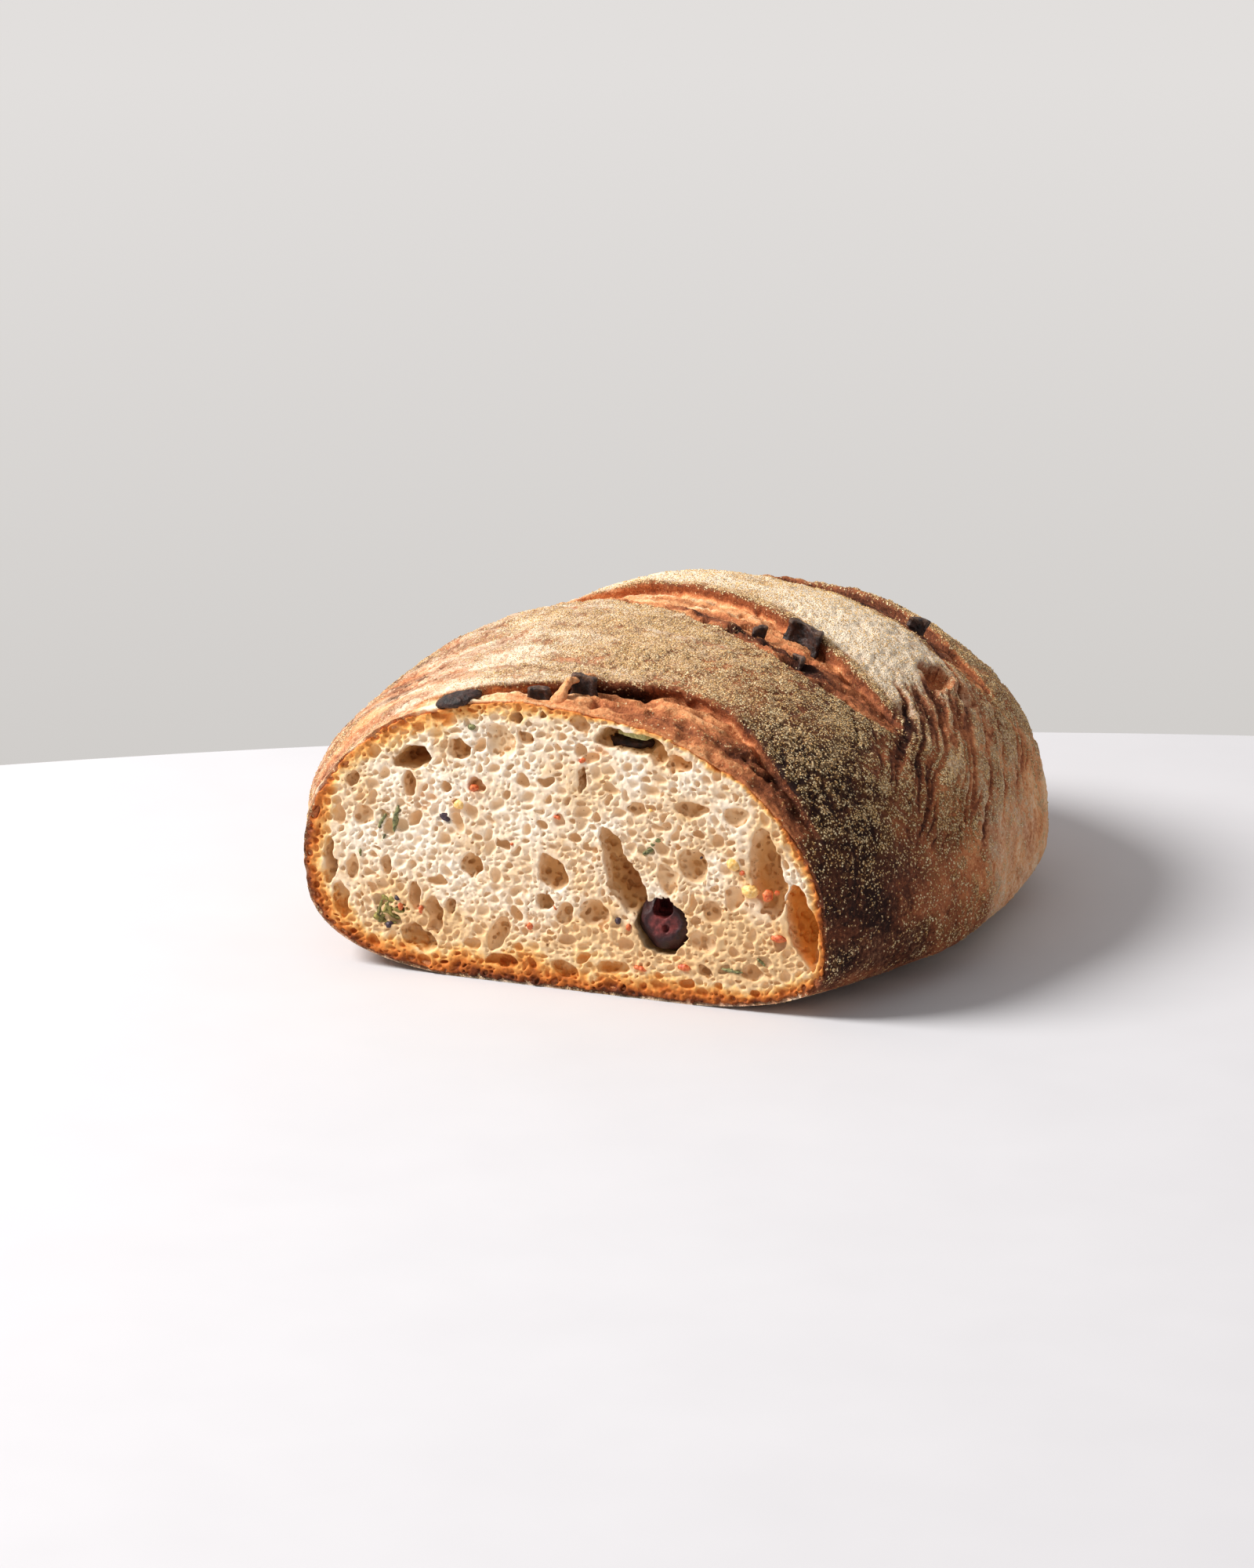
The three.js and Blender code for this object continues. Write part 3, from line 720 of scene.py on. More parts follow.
def gaping_part(angle):
    """1 where the first score gapes wide under its lip."""
    return between(angle, 73, 77, 87, 91)


def lip_pocket(depth, angle):
    """The hollow under the lip of the first score, where it gapes; bake_mark darkens it with painted
    shade.
    """
    return gaping_part(angle) * np.exp(-(((depth - first_lip(angle) + 2.0) / 2.4) ** 2))


# How far each feature of the crust stands out or is sunk, in millimetres.
FOLD_DEPTH = 0.9
CRACKLE_DEPTH = 0.5
RIDGE_HEIGHT = 2.2
PIT_DEPTH = 4.2
CRACK_DEPTH = 1.6
POCKET_DEPTH = 5.0
FLAP_HEIGHT = 1.8
OLIVE_DIP_DEPTH = 1.8


def crust_surface():
    """Points, rows by columns, and the crust's marks there."""
    angle = section_angles()
    rows = crust_rows(angle)
    depth, floor = rows["depth"], rows["floor"]
    angle = np.broadcast_to(angle, depth.shape)
    base = form_point(depth, angle)
    normal = form_normal(depth, angle)
    fade = relief_fade(depth, angle)
    at_edge = smooth(depth, 0, 8)
    inside = smooth(floor, 0.15, 0.6)
    ridge = baked_ridge(depth, angle) * smooth(floor, 0.1, 0.5)
    pit, crack = torn_flap(depth, angle)
    pocket = lip_pocket(depth, angle) * inside
    fold = fold_relief(base, depth, angle) * (1 - inside)
    crackled = crackle(base) * (1 - inside) * at_edge
    torn = torn_relief(base) * inside * (0.4 + 0.6 * at_edge)
    swell = 0.9 * np.sin(depth / 19 + angle / 31) + 0.7 * np.sin(depth / 11 - angle / 17 + 2)
    lumps = 0.5 * layered_noise(base, 14, 2, 1) + 0.3 * layered_noise(base, 4.6, 2, 2)
    rough = 0.18 * noise(base, 1.7, 4) + 0.3 * (1 - at_edge) * noise(base, 1.6, 14)
    dip = spot(depth, angle, OLIVE_DIP) * smooth(depth, 1, 5)
    height = rows["relief"] + at_edge * (swell - FOLD_DEPTH * fold) + lumps + rough + torn
    height = height - CRACKLE_DEPTH * crackled + RIDGE_HEIGHT * ridge
    height = height - PIT_DEPTH * pit - CRACK_DEPTH * crack - POCKET_DEPTH * pocket
    height = height + FLAP_HEIGHT * spot(depth, angle, PIT_FLAP) - OLIVE_DIP_DEPTH * dip
    points = base + normal * (height * fade)[..., None]
    points[..., 1] = np.maximum(points[..., 1] - rows["forward"] * fade, 0.25 * at_edge)
    points[0, :, 1] = 0.2 + 0.25 * noise(base[0], 2.0, 15)
    points[..., 2] = np.maximum(points[..., 2], 0)
    marks = {"floor": floor, "lip": rows["lip"], "ridge": ridge, "fold": fold * fade, "torn": torn,
             "crackle": crackled, "pit": pit, "crack": crack, "pocket": pocket, "depth": depth,
             "angle": angle}
    return points, marks


def bake_mark(points, marks):
    """How dark the crust is baked: 0 is pale gold, 1 nearly black."""
    depth, angle, floor = marks["depth"], marks["angle"], marks["floor"]
    wander = layered_noise(points, 26, 2, 41)
    streaks = layered_noise(points * np.array([0.18, 1, 0.5]), 5.0, 3, 43)
    flank = 1 - smooth(angle, 25, 75)
    near = 1 - smooth(depth, 12, 48)
    left = smooth(angle, 92, 130)
    blotches = layered_noise(points, 8, 3, 45)
    # The right flank is darkest near the cut and palest far behind it.
    bake = 0.47 + 0.09 * flank + 0.28 * near * flank - 0.3 * flank * smooth(depth, 45, 95)
    bake = bake + 0.12 * wander + 0.12 * blotches + 0.2 * left * streaks
    bake = bake + 0.08 * smooth(angle, 110, 128)
    # The right shoulder is darker near the cut, the top paler far behind it, the right foot pale.
    bake = bake + 0.2 * (1 - smooth(np.abs(angle - 48), 4, 20)) * (1 - smooth(depth, 40, 80))
    bake = bake - 0.08 * smooth(depth, 88, 125) * (1 - flank)
    bake = bake - 0.2 * (1 - smooth(points[..., 2], 2, 14)) * (1 - left)
    # The floors of the scores: the first two are darker to the right, the third is the darkest.
    in_first = 0.32 + 0.1 * (1 - smooth(angle, 66, 92)) + 0.34 * (1 - smooth(angle, 34, 64))
    in_first = in_first - 0.15 * smooth(angle, 86, 102) - 0.14 * np.exp(-depth / 2.2) + 0.2 * streaks
    in_second = 0.38 + 0.18 * (1 - smooth(angle, 52, 76)) + 0.18 * streaks
    in_third = 0.52 + 0.3 * smooth(angle, 40, 50) + 0.1 * wander + 0.14 * streaks
    behind_first = np.where(depth < third_front(angle), in_second, in_third)
    scored = np.where(depth < BEHIND_FIRST, in_first, behind_first)
    bake = lerp(bake, scored, smooth(floor, 0.05, 0.35)) - 0.07 * marks["torn"]
    # The scores' lips are darker: the baked edges of the lips, and painted shade on the floor under
    # their overhang.
    bake = lerp(bake, 0.72, 0.8 * marks["lip"] * (1 - left))
    bake = bake + 0.45 * marks["ridge"] + 0.32 * smooth(marks["fold"], 0.2, 0.9)
    # The pocket under the first score's lip is darkened: painted shade.
    bake = bake + 0.14 * marks["crackle"] + 0.7 * marks["pocket"] + 0.15 * marks["crack"]
    in_pit = 0.46 + 0.2 * smooth(angle, TORN_PIT.angle - 2, TORN_PIT.angle + 3)
    return lerp(bake, in_pit + 0.12 * blotches, marks["pit"])


def dust_mark(points, marks):
    """How thickly semolina covers the crust, from 0 to 1."""
    depth, angle, floor = marks["depth"], marks["angle"], marks["floor"]
    wander = layered_noise(points, 14, 3, 51)
    streaks = layered_noise(points * np.array([0.2, 1, 0.5]), 4.5, 3, 53)
    dust = 0.3 + 0.26 * smooth(angle, -2, 30) + 0.26 * smooth(angle, 40, 78) + 0.16 * wander
    dust = dust + 0.26 * streaks * smooth(angle, 50, 80) - 0.6 * smooth(angle, 92, 126)
    dust = dust - 0.3 * smooth(depth, 150, 190) + 0.18 * smooth(depth, 30, 70)
    dust = dust - 0.16 * (1 - smooth(angle, 5, 24)) * (1 - smooth(depth, 20, 60))
    dust = dust - 0.34 * (1 - smooth(angle, -4, 22)) * smooth(depth, 56, 96)
    dust = dust - 0.8 * smooth(marks["fold"], 0.25, 0.8) - 0.5 * marks["crackle"]
    dust = dust - 0.6 * marks["crack"] - 0.8 * marks["pit"] + 0.2 * layered_noise(points, 3.4, 2, 55)
    dust = lerp(dust, 0.1 * streaks, smooth(floor, 0.05, 0.3))
    return np.clip(dust * (1 - 0.8 * marks["lip"]), 0, 1)


def flour_mark(points, marks):
    """How white a film of flour lies on the crust, from 0 to 1."""
    depth, angle, floor = marks["depth"], marks["angle"], marks["floor"]
    streaks = layered_noise(points * np.array([0.25, 1, 0.5]), 5, 3, 63)
    # The band between the second and the third score is the whitest, most of all on its shoulder.
    far_band = smooth(depth - second_back(angle), 1, 6) * smooth(third_front(angle) - depth, 1, 6)
    far_band = far_band * (1 - smooth(angle, 106, 134))
    patch = far_band * between(angle, 36, 56, 64, 80)
    flour = 0.1 + 0.2 * smooth(angle, 55, 75) + 0.24 * smooth(angle, 72, 104)
    flour = flour - 0.16 * smooth(angle, 114, 138)
    flour = flour + 0.14 * (1 - smooth(points[..., 2], 4, 26)) + 0.6 * patch + 0.36 * far_band
    flour = flour + 0.26 * smooth(streaks, -0.3, 0.9) * smooth(angle, 50, 85)
    flour = flour + 0.1 * layered_noise(points, 4, 3, 65)
    flour = flour * (1 - 0.85 * smooth(floor, 0.05, 0.3))
    flour = flour * (1 - 0.8 * smooth(marks["fold"], 0.2, 0.9)) * (1 - 0.35 * marks["crackle"])
    return np.clip(flour * (1 - 0.9 * marks["pit"]) * (1 - marks["lip"]), 0, 1)


def moved_in(angle, distance, depth):
    """The smooth cut outline, moved in by a distance and standing at a depth."""
    ring = form_point(0.0, angle)
    ahead = np.roll(ring, -1, axis=0) - np.roll(ring, 1, axis=0)
    side = unit(np.stack([ahead[:, 2], 0 * ahead[:, 0], -ahead[:, 0]], -1))
    ring = ring - distance * side
    ring[:, 1] = depth
    return ring


def grid_faces(row_count, columns):
    row, column = np.meshgrid(np.arange(row_count - 1), np.arange(columns), indexing="ij")
    near = row * columns + column
    near_next = row * columns + (column + 1) % columns
    return np.stack([near, near + columns, near_next + columns, near_next], -1).reshape(-1, 4)


HIDDEN_MARKS = {"bake": 0.4, "dust": 0, "flour": 0}  # of the hollow that the crumb fills


def build_crust(material):
    points, marks = crust_surface()
    row_count, columns = points.shape[:2]
    paint = {"bake": bake_mark(points, marks), "dust": dust_mark(points, marks),
             "flour": flour_mark(points, marks)}
    angle = section_angles()
    back = moved_in(angle, CUT_EDGE_WIDTH + RECESS_TAPER, RECESS)
    inner = moved_in(angle, CUT_EDGE_WIDTH, RECESS_EDGE)
    hubs = np.stack([[0, RECESS, HEIGHT / 2], form_point(FAR_END, 90.0)])
    total = np.concatenate([back, inner, points.reshape(-1, 3), hubs])
    wheel = np.arange(columns)
    spin = np.roll(wheel, -1)
    hub = np.full(columns, len(total) - 2)
    last = (row_count + 1) * columns
    front_cap = np.stack([hub, wheel, spin], -1)
    far_cap = np.stack([last + wheel, hub + 1, last + spin], -1)
    values = {}
    for key, hidden in HIDDEN_MARKS.items():
        values[key] = np.concatenate([np.full(2 * columns, hidden), paint[key].ravel(),
                                      np.full(2, hidden)])
    faces = [grid_faces(row_count + 2, columns), front_cap, far_cap]
    dress(mesh_piece("crust", total, faces, values), material, "crust", "loaf")
    return points, paint


GRAIN_COUNT = 24000
GRAIN_SIZE = (0.13, 0.25)  # half the length of a grain of semolina
GRAIN_LIFT = 0.06  # how far the middle of a grain is above the crust
GRAINS_FROM = 1.5  # the lowest height above the table where grains lie


def build_semolina(points, paint):
    """Grains of semolina that lie on the crust where it is dusted."""
    random = np.random.default_rng(23)
    across = np.roll(points, -1, axis=1)[:-1] - points[:-1]
    along = points[1:] - points[:-1]
    turned = np.cross(along, across)
    area = np.linalg.norm(turned, axis=-1)
    chance = area * paint["dust"][:-1] ** 1.5 * (points[:-1, :, 2] > GRAINS_FROM)
    picks = random.choice(chance.size, GRAIN_COUNT, p=chance.ravel() / chance.sum())
    row, column = np.unravel_index(picks, chance.shape)
    shares = random.random((2, GRAIN_COUNT, 1))
    middle = points[row, column] + shares[0] * across[row, column] + shares[1] * along[row, column]
    middle = middle + GRAIN_LIFT * unit(turned[row, column])
    corners = np.concatenate([np.eye(3), -np.eye(3)])
    scale = random.uniform(*GRAIN_SIZE, (GRAIN_COUNT, 1, 3))
    spin = np.linalg.qr(random.normal(size=(GRAIN_COUNT, 3, 3)))[0]
    spin = spin * np.linalg.det(spin)[:, None, None]
    grains = middle[:, None] + (corners * scale) @ spin
    facets = [(0, 1, 2), (1, 3, 2), (3, 4, 2), (4, 0, 2), (1, 0, 5), (3, 1, 5), (4, 3, 5), (0, 4, 5)]
    faces = (np.array(facets) + 6 * np.arange(GRAIN_COUNT)[:, None, None]).reshape(-1, 3)
    tone = np.repeat(random.random(GRAIN_COUNT), 6)
    piece = mesh_piece("semolina", grains.reshape(-1, 3), [faces], {"tone": tone}, False)
    dress(piece, grain_material(), "crust", "loaf")


# ---------------------------------------------------------------- the crumb
CRUMB_STEP = 0.3  # across the cut face
CRUMB_STEP_BACK = 0.45  # and into the loaf
CRUMB_BACK = 13.5
CRUMB_INSET = 0.5
CRUMB_TAPER = 0.2
HOLE_ROUNDING = 0.32  # how far the edges of the holes are rounded

# Opposite corners of the block that the crumb is carved from.
BLOCK_LOW = (-85.5, -1.8, -1.2)
BLOCK_HIGH = (76.0, CRUMB_BACK + 1.5, 86.5)

# The large holes of the cut face: x, z, width, height, depth and tilt.
CRUMB_HOLES = [
    (-50, 62, 12, 6.8, 20, 20), (-36, 65.7, 5.4, 6, 10, 0), (-30.5, 67.2, 3, 4.7, 5, -12),
    (-24, 69.6, 9, 10, 3.4, 0), (-50.8, 54.8, 4, 6.2, 9, 0), (-40.4, 54.3, 3.4, 3.4, 6, 0),
    (-31.2, 56, 4.7, 4.5, 6, 0), (-68, 55, 5, 3.4, 7, 35), (-65, 44, 7.1, 6.4, 5, 0),
    (-75.4, 30, 3.8, 14, 10, 0), (-72.3, 18.6, 4, 9, 9, 12), (-68.5, 28, 3.8, 8, 5, 0),
    (-57.9, 30.6, 3.6, 6, 6, 0), (-32.5, 33.2, 6.6, 7, 9, 0), (-8.5, 33.6, 11.4, 9, 11, -35),
    (-10.6, 25, 6, 5, 9, -25), (-49.4, 22.2, 3.3, 8.5, 8, 6), (-43.5, 17.2, 4.3, 10, 8, 8),
    (-38.5, 19.8, 3.3, 5.4, 6, 0), (-48, 10.4, 11.4, 6.4, 14, -12),
    (-24.7, 13.7, 5.6, 10.5, 8, -22), (-4, 22, 5, 7.4, 6, 0), (4.3, 23, 9, 8, 8, 0),
    (9.5, 41.5, 5.5, 14, 11, 24), (13.5, 32, 9.5, 20, 17, 27), (33, 40, 8.6, 10.5, 8, 20),
    (25.6, 35.5, 5.5, 9, 4, 24), (38.5, 27.3, 5, 6.6, 6, 0), (16.4, 54.6, 6.2, 3.8, 6, 0),
    (32.4, 56.1, 11, 4.6, 7, 0), (45.3, 55.7, 7.2, 5.6, 5, 0), (45.2, 32.5, 5.7, 6.7, 4, 0),
    (36.2, 18.5, 8, 5.6, 5, 0), (0.5, 61, 2.8, 7, 9, 0), (-18.9, 76.9, 3.7, 2.9, 8, -20),
    (-16.6, 71.8, 4.4, 3.2, 6, 0), (-11.2, 78.1, 2.5, 2.2, 5, 0), (-0.6, 77, 6, 4, 6, 20),
    (28.6, 68.3, 6.8, 5, 8, 0), (54.5, 40, 9.5, 26, 13, 8), (64.5, 26, 8, 25, 18, 14),
    (50.3, 11, 6, 4.4, 7, 0), (36.4, 10.6, 4.4, 3.2, 6, 0), (9.1, 8, 9.3, 4, 8, 0),
    (-4.8, 6, 9, 4.6, 7, -15), (-23.6, 6.4, 9.4, 3.6, 7, 0), (13.4, 73, 21, 6.6, 18, -3),
    (22.5, 70.4, 7, 4.5, 10, -30),
]
OLIVE_SOCKET = Shape(23.8, 4.0, 22.1, 16.9, 22, 17.5)

# The small cells are drawn at random, first in the walls of the large holes.
WALL_CELLS = 1800
WALL_CELL_RADIUS = (0.35, 0.9)
# Then over the face: how many tries, smallest and largest radius, and the least wall between them.
FACE_CELLS = [(420, 1.1, 2.1, 0.9), (1500, 0.8, 1.3, 0.5), (24000, 0.4, 0.85, 0.25)]

# How thick the toasted rim of the crumb is, by direction from the face's middle.
FACE_MIDDLE = (-4.0, 38.0)
TOAST_ANGLES = [0, 30, 60, 85, 105, 125, 145, 165, 200, 220, 245, 300, 325, 360]
TOAST_WIDTHS = [3.6, 3.2, 4.2, 5.6, 8.0, 10.4, 10.4, 7.8, 7.2, 7.8, 10.4, 10.2, 7.6, 3.6]


def outline_distance(xs, zs, ring):
    """Distance from the cut outline, positive inside it, on a grid of x and z."""
    grid = grid_of(xs, zs)
    place = grid.reshape(-1, 2).astype(np.float32)
    corners = ring[:, [0, 2]].astype(np.float32)
    best = np.full(len(place), 1e9, np.float32)
    inside = np.zeros(len(place), bool)
    for start, end in zip(corners, np.roll(corners, -1, axis=0)):
        along = end - start
        share = np.clip(((place - start) @ along) / max(along @ along, 1e-9), 0, 1)
        gap = place - start - share[:, None] * along
        best = np.minimum(best, (gap ** 2).sum(1))
        if start[1] != end[1]:
            spans = (start[1] > place[:, 1]) != (end[1] > place[:, 1])
            x_at = start[0] + (place[:, 1] - start[1]) * along[0] / along[1]
            inside ^= spans & (place[:, 0] < x_at)
    distance = np.sqrt(best)
    return np.where(inside, distance, -distance).reshape(grid.shape[:2])


class Foam:
    """A block of crumb as a field of distances, from which cells are taken away one by one."""

    def __init__(self, ring):
        self.low = np.array(BLOCK_LOW)
        self.steps = np.array([CRUMB_STEP, CRUMB_STEP_BACK, CRUMB_STEP])
        self.axes = [np.arange(self.low[k], BLOCK_HIGH[k], self.steps[k]) for k in range(3)]
        self.front = int(round(-self.low[1] / CRUMB_STEP_BACK))
        self.inside = outline_distance(self.axes[0], self.axes[2], ring)
        slope = np.gradient(self.inside)
        self.along_crust = np.degrees(np.arctan2(slope[0], -slope[1]))
        x, z = np.meshgrid(self.axes[0], self.axes[2], indexing="ij")
        self.face = np.stack([x, 0 * x, z], -1)
        self.bent_x = x + self.shift(50)
        self.bent_z = z + self.shift(60)
        self.dense = smooth(noise(self.face, 12, 83), -0.1, 0.5)
        self.air = np.full([len(axis) for axis in self.axes], 9.0, np.float32)

    def shift(self, seed):
        """How far each place of the face is shifted, so that round cells come out uneven."""
        shift = 1.0 * noise(self.face, 6.0, seed) + 0.6 * noise(self.face, 2.6, seed + 1)
        return shift + 0.3 * noise(self.face, 1.3, seed + 2)

    def take(self, place, centre, radii, tilt=0.0, margin=2.4):
        """Takes an ellipsoid away. The window is round the place, the centre is a shifted place."""
        window = []
        for k in range(3):
            far = max(radii) + margin
            first = max(int((place[k] - far - self.low[k]) / self.steps[k]), 0)
            last = max(int((place[k] + far - self.low[k]) / self.steps[k]) + 1, 0)
            window.append(slice(first, last))
        x = self.bent_x[window[0], window[2]][:, None, :]
        z = self.bent_z[window[0], window[2]][:, None, :]
        y = self.axes[1][window[1]][None, :, None]
        points = np.stack(np.broadcast_arrays(x, y, z), -1)
        gap = ellipsoid(points, centre, radii, tilt).astype(np.float32)
        self.air[tuple(window)] = np.minimum(self.air[tuple(window)], gap)

    def take_shape(self, shape):
        self.take(middle_of(shape), middle_of(shape), radii_of(shape), shape.tilt)

    def take_at(self, i, k, depth, radii, tilt):
        """Takes an ellipsoid away whose middle is behind a place of the face."""
        place = (self.axes[0][i], depth, self.axes[2][k])
        centre = (self.bent_x[i, k], depth, self.bent_z[i, k])
        self.take(place, centre, radii, tilt, margin=0.9)

    def scatter(self, random, tries, smallest, largest, wall):
        """Fills what is left with cells that the knife opened, each as large as fits."""
        for _ in range(tries):
            i = random.integers(5, len(self.axes[0]) - 5)
            k = random.integers(5, len(self.axes[2]) - 5)
            edge = self.inside[i, k] - 0.8
            room = self.air[i, self.front, k] - wall * (1 + 1.6 * self.dense[i, k])
            radius = min(random.uniform(smallest, largest), edge, room)
            if radius < smallest:
                continue
            sunk = random.uniform(-0.5, 0.4) * radius
            stretch = random.uniform(1.0, 1.35)
            parallel = self.along_crust[i, k] if edge < 14 else 8.0
            tilt = parallel + random.normal(0, 18 if edge < 14 else 45)
            radii = (radius * stretch, 1.1 * radius, radius / stretch)
            self.take_at(i, k, sunk, radii, tilt)

    def pit_walls(self, random, tries):
        """Opens small cells in the walls of the holes."""
        places = np.argwhere((self.air > 0.05) & (self.air < 0.4))
        for i, j, k in places[random.integers(0, len(places), tries)]:
            if self.axes[1][j] > 0.5:
                radius = random.uniform(*WALL_CELL_RADIUS)
                self.take_at(i, k, self.axes[1][j], (radius, radius, radius), 0.0)

    def web(self):
        """How far the face sinks between the fine threads of the crumb."""
        x = self.face[..., 0] + 0.2 * self.shift(81)
        z = self.face[..., 2] + 0.2 * self.shift(84)
        strength = 0.14 + 0.24 * smooth(noise(self.face, 13, 80), -0.5, 0.5)
        coarse = 0.9 * cell_relief(x, z, 3.0, 3) + 0.8 * cell_relief(x, 1.2 * z, 1.7, 9)
        return strength * (coarse + 0.5 * cell_relief(x, z, 1.05, 15))

    def solid(self):
        """The block without its cells: negative inside the dough."""
        near_rim = 1 - smooth(self.inside, 1, 6)
        rough = 0.2 * layered_noise(self.face, 3.0, 3, 70) + 0.3 * near_rim * noise(self.face, 1.4, 75)
        front = rough + self.web() - 0.4
        y = self.axes[1][None, :, None]
        ragged = 0.3 + 0.45 * noise(self.face, 1.8, 77)
        side = (CRUMB_INSET + ragged - self.inside)[:, None, :] + CRUMB_TAPER * np.maximum(y, 0)
        slab = np.maximum(np.maximum(front[:, None, :] - y, y - CRUMB_BACK), side)
        grid = grid_of(*self.axes).astype(np.float32)
        cells = -(self.air + 0.3 * noise(grid, 1.7, 90))
        near = np.maximum(HOLE_ROUNDING - np.abs(slab - cells), 0)
        return np.maximum(slab, cells) + near ** 2 / (4 * HOLE_ROUNDING)

    def sample(self, values, points):
        """Values of a grid of x and z at points, from the four nearest."""
        u = np.clip((points[:, 0] - self.low[0]) / CRUMB_STEP, 0, values.shape[0] - 1.001)
        v = np.clip((points[:, 2] - self.low[2]) / CRUMB_STEP, 0, values.shape[1] - 1.001)
        i, j = u.astype(int), v.astype(int)
        u, v = u - i, v - j
        near = values[i, j] * (1 - v) + values[i, j + 1] * v
        far = values[i + 1, j] * (1 - v) + values[i + 1, j + 1] * v
        return near * (1 - u) + far * u


# Places of the crumb that oil from the peppers has stained: x, z and size.
STAINS = [(-46, 51, 3.4), (-37, 50, 2.4), (50.5, 34.5, 4.0), (57.5, 22.5, 3.0), (-31, 55, 2.6),
          (28.6, 69, 3.4), (6, 69.6, 2.6), (-15, 17.5, 2.0), (17.5, 9, 2.6), (30.4, 11, 2.6)]
TUNNEL = {"x": 65, "z": 26, "lean": 0.25, "half_width": 5, "half_height": 15}


def stain_mark(points):
    """How yellow the crumb is: at the stains, and in the tall tunnel by the right crust."""
    x, z = points[:, 0], points[:, 2]
    away = x - TUNNEL["x"] + TUNNEL["lean"] * (z - TUNNEL["z"])
    tunnel = np.hypot(away / TUNNEL["half_width"], (z - TUNNEL["z"]) / TUNNEL["half_height"])
    stain = 0.7 * (1 - smooth(tunnel, 0.7, 1.1)) * smooth(points[:, 1], 0.3, 1.5)
    for middle_x, middle_z, size in STAINS:
        spread = np.exp(-((x - middle_x) ** 2 + (z - middle_z) ** 2) / size ** 2)
        stain = np.maximum(stain, 0.5 * spread * (0.7 + 0.6 * noise(points, 2.0, 91)))
    return stain


def toast_width(points):
    direction = np.degrees(np.arctan2(points[:, 2] - FACE_MIDDLE[1], points[:, 0] - FACE_MIDDLE[0]))
    uneven = 1 + 0.45 * layered_noise(points, 9, 2, 93)
    return np.interp(direction % 360, TOAST_ANGLES, TOAST_WIDTHS) * uneven


def build_crumb(ring):
    foam = Foam(ring)
    for x, z, width, height, deep, tilt in CRUMB_HOLES:
        foam.take_shape(Shape(x, 0, z, width, deep, height, tilt))
    random = np.random.default_rng(5)
    foam.pit_walls(random, WALL_CELLS)
    for tries, smallest, largest, wall in FACE_CELLS:
        foam.scatter(random, tries, smallest, largest, wall)
    foam.take_shape(OLIVE_SOCKET)
    points, faces = polygons_of(foam.solid(), foam.low, foam.steps)
    toast = foam.sample(foam.inside, points) / toast_width(points)
    toast = toast + 0.16 * layered_noise(points, 2.6, 2, 95)
    toast = toast + 0.32 * smooth(points[:, 2], 34, 64) * (1 - smooth(points[:, 0], 20, 60))
    tan = 0.4 + 0.5 * layered_noise(points, 8, 3, 97) + 0.9 * (1 - smooth(points[:, 2], 6, 34))
    tan = tan + 0.3 * smooth(points[:, 0], 10, 50)
    marks = {"toast": toast, "sunk": points[:, 1], "tan": tan, "stain": stain_mark(points)}
    crumb = mesh_piece("crumb", points, faces, marks)
    dress(crumb, crumb_material(), "crumb", "loaf")


# ---------------------------------------------------------------- olives
CUT_OLIVE = Shape(23.8, 6.2, 22.1, 16.2, 14, 16.8)
CUT_OLIVE_SUNK = 0.6
STONE_HOLE = Shape(23.7, 2, 26.6, 6, 15, 6.3)
SMALL_HOLE = Shape(24.7, 0, 20.9, 2.3, 5, 2.5)
RIM_OLIVE = Shape(-37.4, 3.4, 79.2, 13.6, 11, 4.4, 17)
HOLE_OLIVE = Shape(11.5, 8, 71.3, 15, 9, 4)

# Slices of stoned olive, set in the scores: bent strips of an outer radius, as thick as an olive's
# flesh, spanning some degrees. Turns are degrees about the crust's normal.
Slice = namedtuple("Slice", "depth angle turn sink radius flesh span tall")
OLIVE_SLICES = {
    "olive_slash_one_left": Slice(5.8, 89.4, 8, 3.3, 6.0, 3.2, 84, 7.0),
    "olive_slash_one_right": Slice(11.8, 83.4, -10, 1.8, 6.8, 3.4, 88, 7.6),
    "olive_slash_two_big": Slice(87, 66.5, -25, 2.4, 7.6, 3.8, 150, 7.6),
    "olive_slash_two_chunk": Slice(79, 73.5, 60, 2, 4.2, 2.4, 100, 5),
    "olive_slash_two_sliver": Slice(67, 63.5, -48, 1, 7, 1.8, 60, 3.8),
    "olive_slash_three": Slice(133, 55, 30, 0.6, 5, 3, 100, 6),
}
SLICE_ROUNDING = 0.5


def build_cut_olive(material):
    """The olive that the knife went through, round the hollow of its stone."""
    def field(points):
        bent = points + 0.5 * noise(points, 3.0, 101)[..., None]
        outside = shape_distance(bent, CUT_OLIVE) + 0.22 * layered_noise(points, 2.2, 2, 103)
        stone = shape_distance(bent, STONE_HOLE) + 0.3 * noise(points, 1.4, 105)
        small = shape_distance(bent, SMALL_HOLE) + 0.2 * noise(points, 0.9, 106)
        dip = 0.5 * smooth(points[..., 0], 25, 29) * (1 + noise(points, 1.6, 108))
        rough = 0.25 * layered_noise(points * np.array([1, 0, 1]), 1.8, 3, 107)
        front = CUT_OLIVE_SUNK + rough + dip - points[..., 1]
        return np.maximum(np.maximum(outside, front), np.maximum(-stone, -small))

    def marks(points):
        skin = smooth(shape_distance(points, CUT_OLIVE), -1.2, -0.2)
        return {"skin": np.maximum(skin, smooth(points[:, 0], 27, 29.5))}

    piece = sculpted("olive_crumb_flesh", *reach_of(CUT_OLIVE), 0.24, field, marks)
    dress(piece, material, "olive", "olive_crumb")


